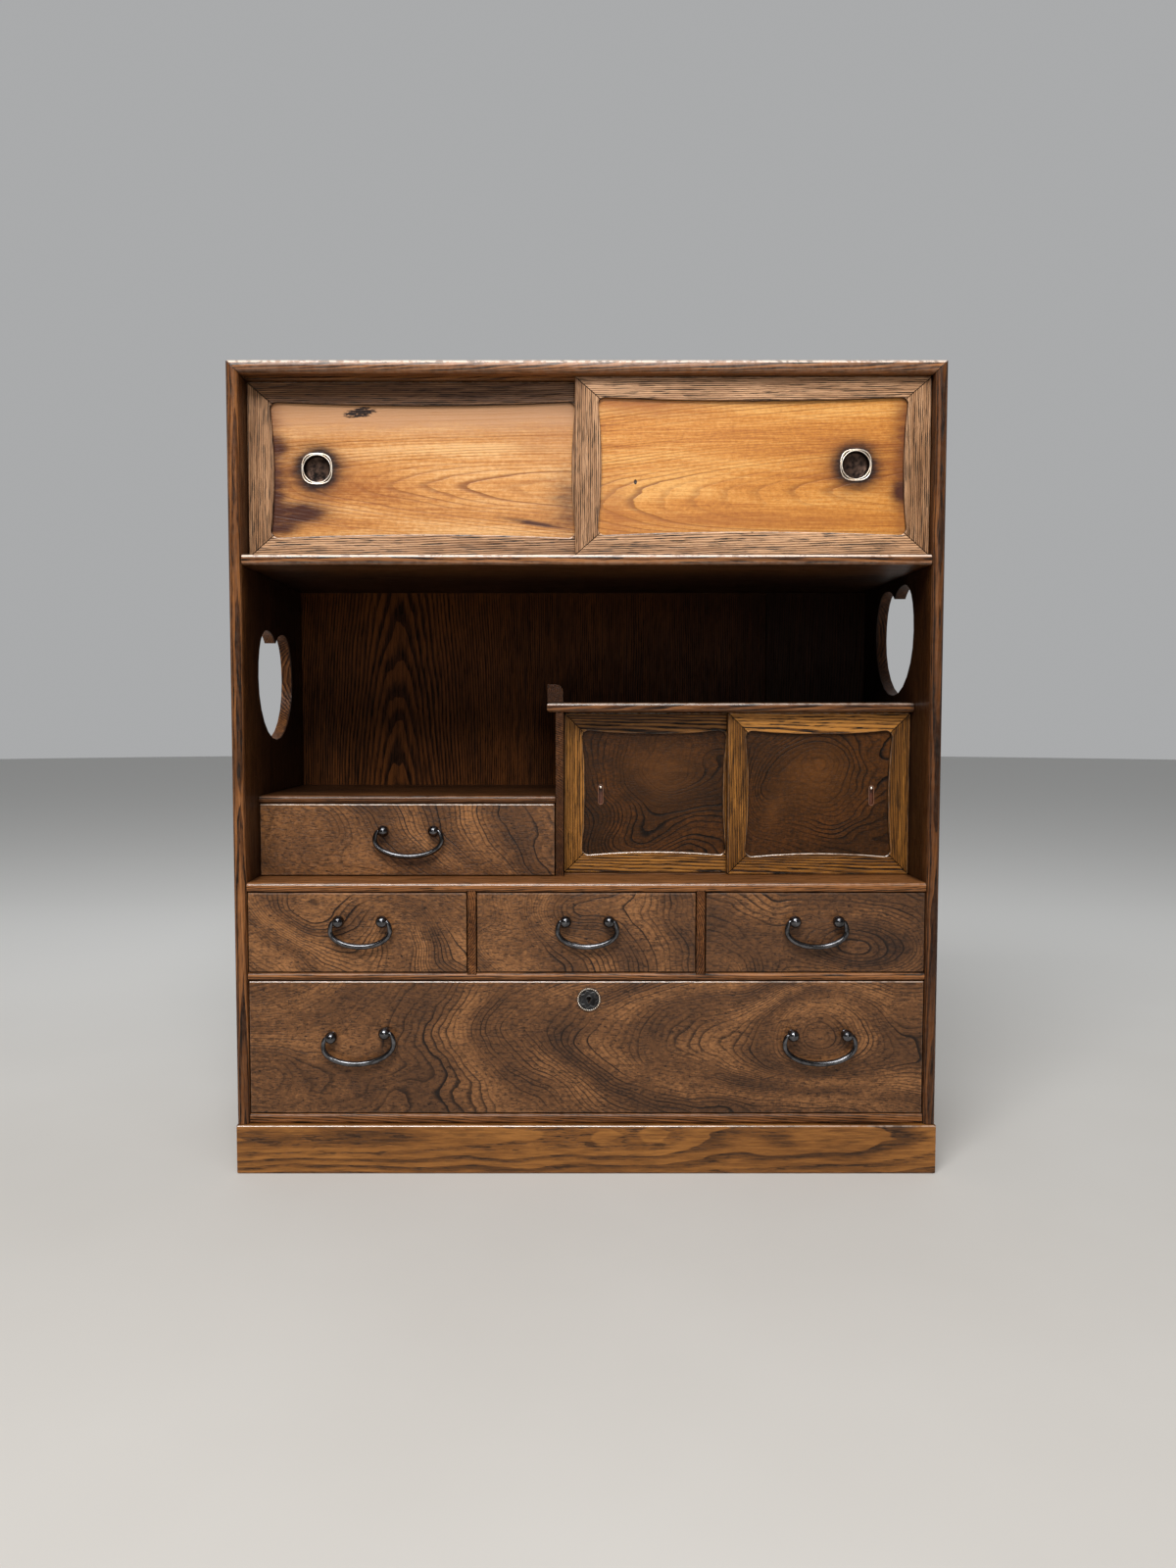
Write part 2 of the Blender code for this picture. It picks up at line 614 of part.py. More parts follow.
def bowed_opening(width, height):
    """Frame opening: round corners, and sides that swell inwards at their middles."""
    half_w = width / 2
    half_h = height / 2
    radius = CORNER_RADIUS
    pull = radius * ROUND_PULL
    swell = BOW * 4 / 3
    third_w = (width - 2 * radius) / 3
    third_h = (height - 2 * radius) / 3
    quarter = [((half_w - radius, half_h), (-third_w, -swell), (pull, 0)),
               ((half_w, half_h - radius), (0, pull), (-swell, -third_h))]
    knots = []
    for flip_x, flip_y in ((1, 1), (1, -1), (-1, -1), (-1, 1)):
        corner = quarter if flip_x * flip_y > 0 else [(p, a, b) for p, b, a in reversed(quarter)]
        for (x, y), (bx, by), (ax, ay) in corner:
            knots.append(((x * flip_x, y * flip_y), ((x + bx) * flip_x, (y + by) * flip_y),
                          ((x + ax) * flip_x, (y + ay) * flip_y)))
    return knots


def door(name, left, width, floor, ceiling, face, thickness, stile, rail, panel_wood, frame_wood):
    """Framed sliding door. Returns its panel, its carrier, the panel face's depth and the middle's height."""
    middle_x = left + width / 2
    low = floor + DOOR_PLAY
    high = ceiling - DOOR_PLAY
    middle_z = (low + high) / 2
    carrier = joint_empty(name + "_slide", middle_x, face, middle_z)
    right = left + width
    frame = board(name + "_frame", (left, face, low), (right, face + thickness, high), frame_wood,
                  rounded=FRONT_EDGES, radius=FRAME_ROUND, carrier=carrier)
    tongue_front = face + (thickness - TONGUE) / 2
    tongue_back = tongue_front + TONGUE
    join_box(frame, name + "_sill_tongue", (left, tongue_front, floor - SILL_GROOVE + SEAT),
             (right, tongue_back, low + OVERSHOOT))
    join_box(frame, name + "_head_tongue", (left, tongue_front, high - OVERSHOOT),
             (right, tongue_back, ceiling + HEAD_GROOVE - HEAD_LIFT))
    open_w = width - 2 * stile
    open_h = high - low - 2 * rail
    opening = curved_outline(name + "_opening", bowed_opening(open_w, open_h), 2 * thickness)
    combine(frame, add_cutter(name + "_opening", opening, (middle_x, FRONT_Y + face, middle_z), FACING_FRONT))
    seat_w = open_w / 2 + PANEL_REBATE
    seat_h = open_h / 2 + PANEL_REBATE
    cut_box(frame, name + "_panel_seat", (middle_x - seat_w, face + LIP, middle_z - seat_h),
            (middle_x + seat_w, face + thickness + OVERSHOOT, middle_z + seat_h))
    panel_face = face + LIP + SEAT
    panel = board(name + "_panel", (middle_x - seat_w + SEAT, panel_face, middle_z - seat_h + SEAT),
                  (middle_x + seat_w - SEAT, panel_face + PANEL, middle_z + seat_h - SEAT), panel_wood,
                  carrier=carrier)
    return panel, carrier, panel_face, middle_z


def rounded_square(half):
    """Points of a square with swollen sides, by a superellipse."""
    power = 2 / CUP_SQUARENESS
    points = []
    for step in range(CUP_STEPS):
        angle = 2 * math.pi * step / CUP_STEPS
        cosine = math.cos(angle)
        sine = math.sin(angle)
        points.append((math.copysign(abs(cosine) ** power, cosine) * half,
                       math.copysign(abs(sine) ** power, sine) * half))
    return points


def finger_cup(name, panel, carrier, x, z, panel_face):
    """Round cup let into a panel, on a plate with a rounded square outline."""
    centre = (x, FRONT_Y + panel_face, z)
    outer = CUP_RADIUS + CUP_WALL
    cut_cylinder(panel, name + "_hole", outer + SEAT, 2 * PANEL + 2 * OVERSHOOT, centre, CUP_STEPS)
    plate_top = SEAT + CUP_PLATE
    lip_top = plate_top + CUP_LIP_RISE
    plate = add_part(name, straight_outline(name, rounded_square(CUP_PLATE_HALF), CUP_PLATE), CUP_METAL,
                     (x, FRONT_Y + panel_face - SEAT - CUP_PLATE / 2, z), FACING_FRONT, carrier)
    cut_cylinder(plate, name + "_plate_hole", CUP_RADIUS + CUP_WALL / 2, OVERSHOOT, centre, CUP_STEPS)
    lip = CUP_RADIUS + CUP_LIP
    plate_middle = plate_top - CUP_PLATE / 2
    profile = [(0, -CUP_DEPTH), (CUP_RADIUS, -CUP_DEPTH), (CUP_RADIUS, lip_top), (lip, lip_top),
               (lip, plate_middle), (outer, plate_middle),
               (outer, -CUP_DEPTH - CUP_WALL), (0, -CUP_DEPTH - CUP_WALL)]
    cup = turned_part(name + "_cup", profile, CUP_METAL, centre, FACING_FRONT, CUP_STEPS)
    PARTS.objects.unlink(cup)
    CUTTERS.objects.link(cup)
    cup.hide_render = True
    cup.display_type = "WIRE"
    combine(plate, cup, "UNION")


def slot_pull(name, panel, x, z, panel_face):
    """Upright slot with round ends, cut through a panel."""
    radius = SLOT_WIDTH / 2
    straight = SLOT_HEIGHT / 2 - radius
    points = []
    for start, rise in ((0, straight), (math.pi, -straight)):
        for step in range(ROUND_STEPS * 2 + 1):
            angle = start + math.pi * step / (ROUND_STEPS * 2)
            points.append((radius * math.cos(angle), rise + radius * math.sin(angle)))
    outline = straight_outline(name, points, 2 * PANEL + 2 * OVERSHOOT)
    combine(panel, add_cutter(name, outline, (x, FRONT_Y + panel_face, z), FACING_FRONT))


def build_doors():
    span = 2 * INNER - 2 * RUN
    width = (span + UPPER_STILE) / 2
    for name, left, face, cup_x in (
            ("upper_right_door", INNER - RUN - width, UPPER_DOOR_SETBACK, INNER - RIGHT_CUP_FROM_EDGE),
            ("upper_left_door", -INNER + RUN, UPPER_DOOR_SETBACK + UPPER_PITCH, -INNER + LEFT_CUP_FROM_EDGE)):
        panel, carrier, panel_face, middle_z = door(
            name, left, width, UPPER_TOP, HEAD_UNDER, face, UPPER_DOOR, UPPER_STILE, UPPER_RAIL,
            PANEL_WOOD, FRAME_WOOD)
        finger_cup(name + "_finger_cup", panel, carrier, cup_x, middle_z + CUP_RISE, panel_face)
    span = INNER - WALL_RIGHT - 2 * RUN
    width = (span + LOWER_STILE) / 2
    front_face = INNER_SETBACK + LOWER_DOOR_SETBACK
    for name, left, face, slot_x in (
            ("lower_right_door", INNER - RUN - width, front_face, INNER - SLOT_FROM_EDGE),
            ("lower_left_door", WALL_RIGHT + RUN, front_face + LOWER_PITCH, WALL_RIGHT + SLOT_FROM_EDGE)):
        panel, carrier, panel_face, middle_z = door(
            name, left, width, MIDDLE_TOP, CUPBOARD_UNDER, face, LOWER_DOOR, LOWER_STILE, LOWER_RAIL,
            BURL_WOOD, FRAME_WOOD)
        slot_pull(name + "_slot", panel, slot_x, middle_z - SLOT_BELOW_MIDDLE, panel_face)


# Drawers and handles

def drawer(name, left, right, low, high, face):
    """Drawer front and the open box behind it. Returns the front and its carrier."""
    carrier = joint_empty(name + "_slide", (left + right) / 2, face, (low + high) / 2)
    top = high - FRONT_GAP
    front = board(name + "_front", (left + FRONT_GAP, face, low + FRONT_GAP),
                  (right - FRONT_GAP, face + DRAWER_FRONT, top), BURL_WOOD,
                  rounded=FRONT_EDGES, radius=FRONT_ROUND, carrier=carrier)
    box_left = left + FRONT_GAP + RUN
    box_right = right - FRONT_GAP - RUN
    start = face + DRAWER_FRONT + SEAT
    end = BACK_FACE - BOX_BACK_ROOM
    box = board(name + "_box", (box_left, start, low + SEAT), (box_right, end, top - BOX_BELOW_FRONT),
                BOX_WOOD, carrier=carrier)
    cut_box(box, name + "_inside", (box_left + BOX_WALL, start - OVERSHOOT, low + SEAT + BOX_FLOOR),
            (box_right - BOX_WALL, end - BOX_WALL, high + OVERSHOOT))
    return front, carrier


def ball_profile():
    """Post: ball, neck, collar and shank, as radius and height out from the drawer's face."""
    neck_angle = math.pi - math.asin(NECK_RADIUS / BALL_RADIUS)
    angles = [neck_angle * step / BALL_STEPS for step in range(BALL_STEPS + 1)]
    profile = [(BALL_RADIUS * math.sin(angle), POST_STAND + BALL_RADIUS * math.cos(angle))
               for angle in angles]
    profile[0] = (0, POST_STAND + BALL_RADIUS)
    collar_top = SEAT + COLLAR
    tail = -DRAWER_FRONT - SHANK_TAIL
    return profile + [(NECK_RADIUS, collar_top), (COLLAR_RADIUS, collar_top), (COLLAR_RADIUS, SEAT),
                      (SHANK_RADIUS, SEAT), (SHANK_RADIUS, tail), (0, tail)]


def bail_path(pitch, drop, hook):
    """Middle line of a bail and its thickness along the way, from the left pin to the right pin."""
    half_pitch = pitch / 2
    wide = half_pitch + hook
    belly = drop - HOOK_DROP - WIRE_RADIUS
    left = [(-half_pitch + PIN_PAST_CENTRE, 0)]
    for step in range(HOOK_STEPS):
        angle = math.pi / 2 * step / HOOK_STEPS
        left.append((-half_pitch - HOOK_START - (hook - HOOK_START) * math.sin(angle),
                     -HOOK_DROP * (1 - math.cos(angle))))
    sweep = [(-wide * math.cos(math.pi * step / SWEEP_STEPS),
              -HOOK_DROP - belly * math.sin(math.pi * step / SWEEP_STEPS)) for step in range(SWEEP_STEPS + 1)]
    points = left + sweep + [(-x, z) for x, z in reversed(left)]
    last = len(points) - 1
    thickness = [WIRE_TAPER + (1 - WIRE_TAPER) * math.sin(math.pi * step / last) for step in range(last + 1)]
    return points, thickness


def wire_mesh(name, points, thickness):
    curve = bpy.data.curves.new(name, "CURVE")
    curve.dimensions = "3D"
    curve.bevel_depth = WIRE_RADIUS
    curve.bevel_resolution = 2
    curve.use_fill_caps = True
    spline = curve.splines.new("POLY")
    spline.points.add(len(points) - 1)
    for knot, (x, z), radius in zip(spline.points, points, thickness):
        knot.co = (x, 0, z, 1)
        knot.radius = radius
    return mesh_from_curve(name, curve)


def handle(name, front, carrier, x, z, face, bail_sizes, tilt=0.0):
    """Bail on two ball-headed posts. It turns about the line through the balls' centres."""
    pitch = bail_sizes[0]
    hinge = (x, FRONT_Y + face - POST_STAND, z)
    bail_mesh = wire_mesh(name + "_bail", *bail_path(*bail_sizes))
    bail_mesh.shade_smooth()
    add_part(name + "_bail", bail_mesh, IRON, hinge, (0, -tilt, 0), carrier)
    bore_length = BALL_RADIUS + PIN_PAST_CENTRE + SEAT
    bore_foot = WIRE_RADIUS * WIRE_TAPER + WIRE_BORE_PLAY
    for end, sign in (("left", -1), ("right", 1)):
        along = sign * pitch / 2
        post_x = x + along * math.cos(tilt)
        post_z = z + along * math.sin(tilt)
        shank_place = (post_x, FRONT_Y + face, post_z)
        post = turned_part(f"{name}_post_{end}", ball_profile(), IRON, shank_place, FACING_FRONT, TURN_STEPS,
                           carrier)
        cut_cylinder(front, f"{name}_{end}_hole", SHANK_RADIUS + SEAT, 2 * (DRAWER_FRONT + OVERSHOOT),
                     shank_place, TURN_STEPS)
        bore_middle = along + sign * (BALL_RADIUS - PIN_PAST_CENTRE - SEAT) / 2
        radii = (BORE_MOUTH, bore_foot) if sign < 0 else (bore_foot, BORE_MOUTH)
        bore = cone_mesh(f"{name}_{end}_bore", *radii, bore_length, TURN_STEPS)
        place_x = x + bore_middle * math.cos(tilt)
        place_z = z + bore_middle * math.sin(tilt)
        combine(post, add_cutter(bore.name, bore, (place_x, hinge[1], place_z), (0, math.pi / 2 - tilt, 0)))


def build_drawers():
    """All five drawers with their handles. Returns the large drawer's front and carrier."""
    face = INNER_SETBACK + INNER_DRAWER_SETBACK
    front, carrier = drawer("shelf_drawer", -INNER, WALL_LEFT, MIDDLE_TOP, DRAWER_SHELF_UNDER, face)
    x = (WALL_LEFT - INNER) / 2 + SHELF_HANDLE_SHIFT
    height = DRAWER_SHELF_UNDER - FRONT_GAP - HANDLE_BELOW_TOP
    handle("shelf_drawer", front, carrier, x, height, face, (SHELF_PITCH, SHELF_DROP, SHELF_HOOK))
    bays = (("left", -BAY - DIVIDER, LEFT_HANDLE_SHIFT), ("middle", 0, MIDDLE_HANDLE_SHIFT),
            ("right", BAY + DIVIDER, RIGHT_HANDLE_SHIFT))
    height = MIDDLE_UNDER - FRONT_GAP - HANDLE_BELOW_TOP
    for place_name, middle, shift in bays:
        name = "small_drawer_" + place_name
        front, carrier = drawer(name, middle - BAY / 2, middle + BAY / 2, LOWER_TOP, MIDDLE_UNDER,
                                DRAWER_SETBACK)
        handle(name, front, carrier, middle + shift, height, DRAWER_SETBACK,
               (SMALL_PITCH, SMALL_DROP, SMALL_HOOK))
    front, carrier = drawer("large_drawer", -INNER, INNER, BOTTOM_TOP, LOWER_UNDER, DRAWER_SETBACK)
    height = LOWER_UNDER - FRONT_GAP - LARGE_HANDLE_BELOW_TOP
    for side, x, tilt in (("left", -LARGE_LEFT_PLACE, LEFT_HANDLE_TILT), ("right", LARGE_RIGHT_PLACE, 0.0)):
        handle("large_drawer_" + side, front, carrier, x, height, DRAWER_SETBACK,
               (LARGE_PITCH, LARGE_DROP, LARGE_HOOK), tilt)
    return front, carrier


# Lock of the large drawer

def keyhole_outline():
    """Drop with its point down."""
    half = KEYHOLE_WIDTH / 2
    top = KEYHOLE_HEIGHT * KEYHOLE_RISE
    foot = top - KEYHOLE_HEIGHT
    pull = half * ROUND_PULL
    return [((0, top), (-pull, top), (pull, top)),
            ((half, top - half), (half, top - half + pull), (half, top - half - pull)),
            ((0, foot), (pull / 2, foot + pull), (-pull / 2, foot + pull)),
            ((-half, top - half), (-half, top - half - pull), (-half, top - half + pull))]


def build_lock(front, carrier, shelf_above):
    top = LOWER_UNDER - FRONT_GAP
    key_z = top - KEY_BELOW_TOP
    face = DRAWER_SETBACK
    rim = PLATE_RADIUS - PLATE_RIM
    profile = [(0, PLATE_THICK - PLATE_DISH), (rim, PLATE_THICK - PLATE_DISH), (rim, PLATE_THICK),
               (PLATE_RADIUS - PLATE_DISH, PLATE_THICK), (PLATE_RADIUS, PLATE_THICK - PLATE_DISH),
               (PLATE_RADIUS, SEAT), (0, SEAT)]
    key_place = (KEY_SHIFT, FRONT_Y + face, key_z)
    plate = turned_part("key_plate", profile, IRON, key_place, FACING_FRONT, CUP_STEPS, carrier)
    lock_front = face + DRAWER_FRONT - LOCK_MORTISE
    lock_back = lock_front + LOCK_DEPTH
    left = KEY_SHIFT - LOCK_WIDTH / 2
    right = KEY_SHIFT + LOCK_WIDTH / 2
    lock = board("lock_case", (left, lock_front, top - LOCK_HEIGHT), (right, lock_back, top), IRON,
                 carrier=carrier)
    cut_box(front, "lock_mortise", (left - SEAT, lock_front - SEAT, top - LOCK_HEIGHT - SEAT),
            (right + SEAT, lock_back + OVERSHOOT, top + OVERSHOOT))
    bolt_front = (lock_front + lock_back - BOLT_THICK) / 2
    bolt_low = (KEY_SHIFT - BOLT_WIDTH / 2, bolt_front, top - BOLT_HEIGHT)
    bolt_high = (KEY_SHIFT + BOLT_WIDTH / 2, bolt_front + BOLT_THICK, top)
    bolt_carrier = joint_empty("lock_bolt_slide", KEY_SHIFT, bolt_front, top)
    board("lock_bolt", bolt_low, bolt_high, IRON, carrier=bolt_carrier)
    cut_box(lock, "bolt_pocket",
            (bolt_low[0] - SEAT, bolt_low[1] - SEAT, bolt_low[2] - SEAT),
            (bolt_high[0] + SEAT, bolt_high[1] + SEAT, top + OVERSHOOT))
    cut_box(shelf_above, "bolt_mortise",
            (bolt_low[0] - BOLT_PLAY, bolt_low[1] - BOLT_PLAY, LOWER_UNDER - OVERSHOOT),
            (bolt_high[0] + BOLT_PLAY, bolt_high[1] + BOLT_PLAY, top + BOLT_THROW + BOLT_PLAY))
    reach = bolt_front - face
    outline = curved_outline("keyhole", keyhole_outline(), 2 * reach)
    keyhole = add_cutter("keyhole", outline, key_place, FACING_FRONT)
    for part in (plate, front, lock):
        combine(part, keyhole)


def main():
    lower_shelf = build_carcass()
    build_doors()
    front, carrier = build_drawers()
    build_lock(front, carrier, lower_shelf)


main()
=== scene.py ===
# %% [markdown]
# # Dressing a tea cabinet
# A low wooden cabinet for tea things. Two golden doors slide past each other at the top, over an open
# niche with pierced sides. In the niche stand a recessed drawer and a small cupboard. Under it are three
# small drawers and a wide one with a lock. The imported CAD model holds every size, so this lesson only
# gives each piece its real surface.

# %% Load the frame
import json
import math
import random

import bmesh
import bpy
from mathutils import Matrix, Vector

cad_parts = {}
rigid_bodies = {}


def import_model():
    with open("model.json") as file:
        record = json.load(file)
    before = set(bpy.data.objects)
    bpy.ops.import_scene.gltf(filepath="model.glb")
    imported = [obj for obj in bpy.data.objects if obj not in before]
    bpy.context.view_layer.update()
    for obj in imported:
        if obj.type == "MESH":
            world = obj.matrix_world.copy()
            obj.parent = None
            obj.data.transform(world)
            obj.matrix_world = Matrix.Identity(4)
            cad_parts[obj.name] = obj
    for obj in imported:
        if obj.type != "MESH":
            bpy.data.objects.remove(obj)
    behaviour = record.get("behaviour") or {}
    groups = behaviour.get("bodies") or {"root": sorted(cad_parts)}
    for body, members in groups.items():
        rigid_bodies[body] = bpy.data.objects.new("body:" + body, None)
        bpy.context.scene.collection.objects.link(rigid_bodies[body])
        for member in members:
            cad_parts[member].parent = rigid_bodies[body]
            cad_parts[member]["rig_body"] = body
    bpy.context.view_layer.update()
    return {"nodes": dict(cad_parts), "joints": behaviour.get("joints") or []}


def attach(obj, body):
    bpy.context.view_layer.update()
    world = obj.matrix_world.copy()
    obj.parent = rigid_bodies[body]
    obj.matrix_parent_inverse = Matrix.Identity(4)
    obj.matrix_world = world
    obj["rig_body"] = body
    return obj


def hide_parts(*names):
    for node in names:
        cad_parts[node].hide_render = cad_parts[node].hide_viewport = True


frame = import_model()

scene = bpy.context.scene
scene.view_settings.view_transform = "Standard"

# %% [markdown]
# ## Camera
# The picture was taken from straight in front, a little left of the middle and about half way up, looking
# slightly down. A wide lens so close makes the niche open towards us. These numbers came from matching
# the cabinet's corners, and the small shift stands for a picture that was cropped.

# %% Camera at the picture's place
lens = bpy.data.cameras.new("picture_view")
lens.sensor_width = 36
lens.lens = 26.18
lens.shift_x = 0.01275
viewer = bpy.data.objects.new("picture_view", lens)
viewer.location = (-0.019, -1.3013, 0.4743)
viewer.rotation_euler = (math.radians(90 - 3.257), 0, 0)
scene.collection.objects.link(viewer)
scene.camera = viewer
print("camera:", tuple(viewer.location), "lens", lens.lens, "mm")

# %% [markdown]
# ## Lamps
# The left door lies two fingers behind the top board's edge and its upper rail is dark, but the right
# door, one finger behind, is fully lit. So the main light comes from in front, about 27 to 48 degrees up.
# A narrow light overhead draws the white lines along the shelves and the handles, and the balls of the
# handles also mirror a bright doorway behind the camera. Each lamp's power is worked out from the share
# of full light that it gives a front face.

# %% Lamps
AIM = Vector((0, -0.13, 0.45))


def area_lamp(name, place, share, width, height):
    """A lamp that gives upright faces at the aim this share of the light that shows white as white."""
    way = AIM - place
    lamp = bpy.data.lights.new(name, "AREA")
    lamp.shape = "RECTANGLE"
    lamp.size = width
    lamp.size_y = height
    lamp.energy = share * math.pi ** 2 * way.length ** 3 / way.y
    holder = bpy.data.objects.new(name, lamp)
    holder.location = place
    holder.rotation_euler = way.to_track_quat("-Z", "Y").to_euler()
    scene.collection.objects.link(holder)
    print(name, round(lamp.energy, 1), "W")


area_lamp("window_light", Vector((-0.40, -2.15, 2.45)), share=0.74, width=2.0, height=1.0)
area_lamp("overhead_light", Vector((0.0, -0.95, 2.30)), share=0.09, width=1.5, height=0.45)
area_lamp("doorway_light", Vector((0.25, -3.40, 1.20)), share=0.09, width=0.4, height=0.8)

# %% [markdown]
# ## Sums that become nodes
# A material is a graph of nodes, and wiring it line by line hides the idea behind it. Here one small
# class wraps a socket, so that ordinary sums such as `1 - mask` add the Math nodes, and one method adds
# any other node. Soft steps and mixes of colours are needed most, so they have their own names. The same
# two classes serve the world, the materials and Geometry Nodes.

# %% Signal and bench
def forward(operation):
    settings = {"operation": operation}
    return lambda self, other: self.bench.node("ShaderNodeMath", settings, {0: self, 1: other})


def reflected(operation):
    settings = {"operation": operation}
    return lambda self, other: self.bench.node("ShaderNodeMath", settings, {0: other, 1: self})


class Signal:
    """A number on its way through a node tree."""

    def __init__(self, bench, socket):
        self.bench = bench
        self.socket = socket

    __add__ = __radd__ = forward("ADD")
    __mul__ = __rmul__ = forward("MULTIPLY")
    __sub__ = forward("SUBTRACT")
    __rsub__ = reflected("SUBTRACT")
    __truediv__ = forward("DIVIDE")
    __rtruediv__ = reflected("DIVIDE")
    __pow__ = forward("POWER")
    __rpow__ = reflected("POWER")
    __gt__ = forward("GREATER_THAN")
    __lt__ = forward("LESS_THAN")

    def __neg__(self):
        return self * -1

    def math(self, operation):
        return self.bench.node("ShaderNodeMath", {"operation": operation}, {0: self})


class Bench:
    """A node tree, and one way to add a node to it: its type, its settings, then its sockets."""

    def __init__(self, tree):
        self.tree = tree

    def node(self, kind, settings=None, sockets=None, output=0):
        made = self.tree.nodes.new(kind)
        for name, value in (settings or {}).items():
            if name == "stops":
                self.set_stops(made.color_ramp, value)
            else:
                setattr(made, name, value)
        for name, value in (sockets or {}).items():
            self.feed(made.inputs[name], value)
        return Signal(self, made.outputs[output])

    def feed(self, socket, value):
        if isinstance(value, Signal):
            self.tree.links.new(value.socket, socket)
        else:
            socket.default_value = value

    def set_stops(self, ramp, stops):
        ramp.elements[0].position, ramp.elements[0].color = stops[0]
        ramp.elements[1].position, ramp.elements[1].color = stops[-1]
        for place, colour in stops[1:-1]:
            ramp.elements.new(place).color = colour

    def split(self, vector):
        first = self.node("ShaderNodeSeparateXYZ", {}, {0: vector})
        return [Signal(self, socket) for socket in first.socket.node.outputs]

    def vector(self, x, y, z):
        return self.node("ShaderNodeCombineXYZ", {}, {0: x, 1: y, 2: z})

    def step(self, value, low, high):
        sockets = {"Value": value, 1: low, 2: high}
        return self.node("ShaderNodeMapRange", {"interpolation_type": "SMOOTHSTEP"}, sockets)

    def mix(self, share, first, second):
        return self.node("ShaderNodeMix", {"data_type": "RGBA"}, {0: share, 6: first, 7: second}, 2)


print("node bench ready")

# %% [markdown]
# ## World
# What the cabinet stands in front of is pale, and the room behind the camera is dark: polished iron is
# black with a few bright spots because it mirrors that room. So the world is pale towards the back, and
# dark towards us.

# %% World
ROOM = (0.085, 0.083, 0.08, 1)
BACKDROP = (0.40, 0.405, 0.41, 1)

studio = bpy.data.worlds.new("studio")
studio.use_nodes = True
scene.world = studio
sky = Bench(studio.node_tree)
_, depth, _ = sky.split(sky.node("ShaderNodeTexCoord", output="Generated"))
shade = sky.mix(sky.step(depth, -0.5, 0.6), ROOM, BACKDROP)
sky.feed(studio.node_tree.nodes["Background"].inputs["Color"], shade)
print("world: from", ROOM[:3], "to", BACKDROP[:3])

# %% [markdown]
# ## Paint
# What a finish needs besides: noise stretched along the grain, ramps of colour, and soft round bulges
# that stand for the eyes in figured wood. Colours are written as they look on a screen and turned into
# the linear values that light works with.

# %% Paint
def tint(red, green, blue):
    """A screen colour, 0 to 255, as linear light."""
    shares = [value / 255 for value in (red, green, blue)]
    return (*[s / 12.92 if s <= 0.04045 else ((s + 0.055) / 1.055) ** 2.4 for s in shares], 1.0)


class Paint(Bench):
    """A material on the bench."""

    def __init__(self, name):
        self.material = bpy.data.materials.new(name)
        self.material.use_nodes = True
        super().__init__(self.material.node_tree)
        self.shader = self.tree.nodes["Principled BSDF"]

    def place(self):
        return self.node("ShaderNodeTexCoord", output="Object")

    def attribute(self, name, output):
        return self.node("ShaderNodeAttribute", {"attribute_name": name}, {}, output)

    def stretch(self, vector, scale):
        return self.node("ShaderNodeVectorMath", {"operation": "MULTIPLY"}, {0: vector, 1: scale})

    def noise(self, vector, scale, detail=2.0, rough=0.5):
        sockets = {"Vector": self.stretch(vector, scale), "Scale": 1.0, "Detail": detail,
                   "Roughness": rough}
        return self.node("ShaderNodeTexNoise", {}, sockets)

    def ramp(self, value, *stops):
        return self.node("ShaderNodeValToRGB", {"stops": stops}, {0: value})

    def bulge(self, vector, centre, half, turn, height):
        """A soft oval hill in the X-Z plane, as high as stated at its centre."""
        sockets = {"Vector": vector, "Location": (centre[0], 0, centre[1]),
                   "Rotation": (0, math.radians(turn), 0), "Scale": (half[0], 1000, half[1])}
        local = self.node("ShaderNodeMapping", {"vector_type": "TEXTURE"}, sockets)
        squared = {"operation": "DOT_PRODUCT"}
        spread = self.node("ShaderNodeVectorMath", squared, {0: local, 1: local}, "Value")
        return math.e ** (-spread) * height

    def paled_by_wear_and_highlight(self, worn):
        """How far an arris is painted pale: partly wear and partly a painted highlight. The high marks, on
        arrises that look up, count most.
        """
        patchy = self.step(self.noise(self.place(), (160, 160, 160), 3.0), 0.38, 0.6)
        return (worn * 0.1 + worn ** 4 * 0.3) * (0.3 + patchy * 0.7)

    def surface(self, colour, rough, height=None, depth=0.0004, fixed=None, coat=0.0):
        self.feed(self.shader.inputs["Base Color"], colour)
        self.feed(self.shader.inputs["Roughness"], rough)
        self.feed(self.shader.inputs["Coat Weight"], coat)
        for name, value in (fixed or {}).items():
            self.shader.inputs[name].default_value = value
        if height is not None:
            bump = self.node("ShaderNodeBump", {}, {"Strength": 0.6, "Distance": depth, "Height": height})
            self.feed(self.shader.inputs["Normal"], bump)
        return self.material

    def waxed(self, colour, rough, height, depth, shine, worn):
        """Wood under old wax, which shines most on worn arrises."""
        fixed = {"Specular IOR Level": shine, "Coat Roughness": 0.2, "Coat IOR": 2.2}
        return self.surface(colour, rough, height, depth, fixed, self.step(worn, 0.3, 1.1))


print("paint ready, screen grey 128 is", round(tint(128, 128, 128)[0], 3), "in light")

# %% [markdown]
# ## Floor
# A plain pale floor that runs to the horizon. It is slightly uneven, and whiter far away, where less
# light falls.

# %% Floor
def pale_floor():
    paint = Paint("pale_floor")
    cloud = paint.noise(paint.place(), (2.5, 2.5, 2.5), 4.0)
    _, away, _ = paint.split(paint.place())
    near = paint.mix(cloud, tint(196, 192, 186), tint(208, 205, 200))
    colour = paint.mix(paint.step(away, -0.4, 1.5), near, tint(250, 250, 248))
    return paint.surface(colour, 0.75 + cloud * 0.15, fixed={"Specular IOR Level": 0.2})


def object_from(shape, name, material=None):
    """An object in the scene that holds a finished shape."""
    mesh = bpy.data.meshes.new(name)
    shape.to_mesh(mesh)
    shape.free()
    if material:
        mesh.materials.append(material)
    made = bpy.data.objects.new(name, mesh)
    scene.collection.objects.link(made)
    return made


